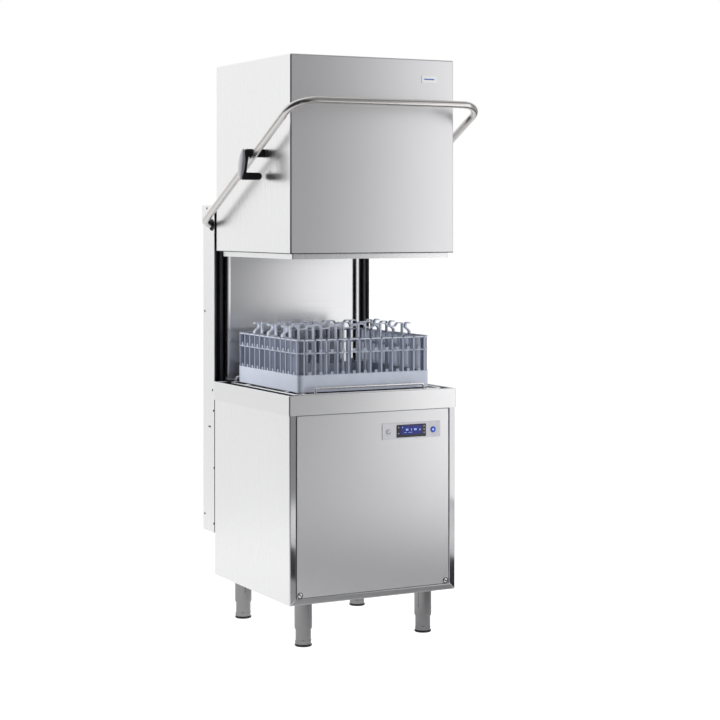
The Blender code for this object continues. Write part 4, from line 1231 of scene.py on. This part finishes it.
def make_rack_corners(half, centre, bottom, top):
    """Corner walls, curved and set back behind the rails."""
    set_back = 0.013
    radius = 0.014
    wall = 0.0028
    hub = (-half + set_back + radius, -half + set_back + radius)
    outline = arc(hub, radius, 180, 270, 8) + arc(hub, radius - wall, 270, 180, 8)
    spots = [(x, y, bottom + RACK_BASE - 0.001) for x, y in outline]

    def build(work):
        for spin in quarter_turns(centre):
            made = raise_outline(work, spots, top - bottom - RACK_BASE)
            bmesh.ops.transform(work, matrix=spin, verts=made)
    piece(mesh_object("rack_corner_posts", build, 40.0), "rack", RACK_BLUE, "rack_plastic")


def make_rack_floor(half, centre, bottom):
    """Open floor grid of thin ribs, deeper along the lines that carry the glasses."""
    inner = half - WALL + 0.001
    lines = 14

    def build(work):
        for i in range(lines + 1):
            at = -inner + 2 * inner * i / lines
            rib = 0.008 if i % 2 == 0 else 0.005
            wide = 0.0016 if i % 2 == 0 else 0.0010
            fill_box(work, (at - wide, centre - inner, bottom + 0.0005),
                     (at + wide, centre + inner, bottom + rib))
            fill_box(work, (-inner, centre + at - wide, bottom + 0.0008),
                     (inner, centre + at + wide, bottom + rib - 0.0004))
    piece(mesh_object("rack_floor_grid", build), "rack", RACK_BLUE, "rack_plastic")


HOOK = ((0.000, -0.003), (0.000, 0.007), (0.005, 0.013), (0.015, 0.020), (0.018, 0.029),
        (0.014, 0.0365), (0.006, 0.038), (-0.001, 0.0365))
SUPPORT_ROWS = (-0.115, 0.0, 0.115)
SADDLES = 5


def flat_strip(work, line, y, thick, wide, bend):
    """Add a flat strip that follows a bent line in XZ."""
    smooth = rounded(line, bend, False, 4)
    rings = []
    for i, (x, z) in enumerate(smooth):
        before = Vector(smooth[max(i - 1, 0)])
        after = Vector(smooth[min(i + 1, len(smooth) - 1)])
        run = (after - before).normalized()
        side = Vector((-run.y, run.x)) * thick / 2
        rings.append([work.verts.new((x + side.x * s, y + t * wide / 2, z + side.y * s))
                      for s, t in ((-1, -1), (1, -1), (1, 1), (-1, 1))])
    join_rings(work, rings)
    work.faces.new(rings[0])
    work.faces.new(rings[-1])


def make_glass_supports(half, centre, bottom, top):
    """Rows that hold the glasses: hooked ends on the side rims and a raised saddle rail."""
    start = half - 0.004
    riser = start - 0.029
    seat = top - 0.0015
    crest = top + 0.038
    dip = crest - 0.012
    span = 2 * riser / SADDLES
    strip_width = 0.0150

    def rail_line():
        line = [(-start + 0.001, seat), (-riser, seat), (-riser, crest)]
        for i in range(SADDLES):
            near = -riser + span * i
            far = near + span
            line += [(near + 0.020, crest), (near + 0.030, dip), (far - 0.030, dip),
                     (far - 0.020, crest)]
        return line + [(riser, crest), (riser, seat), (start - 0.001, seat)]

    def build(work):
        for row in SUPPORT_ROWS:
            y = centre + row
            for sign in (-1, 1):
                hook = [(sign * (start - x), top + z) for x, z in HOOK]
                flat_strip(work, hook, y, 0.0052, strip_width, 0.006)
            flat_strip(work, rail_line(), y, 0.0034, strip_width, 0.003)
            for i in range(1, SADDLES):
                x = -riser + span * i
                fill_box(work, (x - 0.0028, y - 0.0050, bottom + 0.006),
                         (x + 0.0028, y + 0.0050, crest - 0.001))
            for x in (-riser, riser):
                fill_box(work, (x - 0.0035, y - 0.0045, bottom + 0.006),
                         (x + 0.0035, y + 0.0045, top))
    piece(mesh_object("rack_glass_supports", build, 50.0), "rack", RACK_BLUE, "rack_plastic")


# ---------------------------------------------------------------- all of it
def main():
    make_camera()
    make_world()
    make_lights()
    make_floor()
    dress_nodes()
    make_cabinet_sides()
    make_lower_flange()
    make_service_panel()
    make_panel_locks()
    make_rim()
    make_feet()
    make_controls()
    make_column()
    make_bearings()
    make_rails()
    make_splash_wall()
    make_hood()
    make_stirrups()
    make_handle()
    make_rack_guide()
    make_rack()


main()
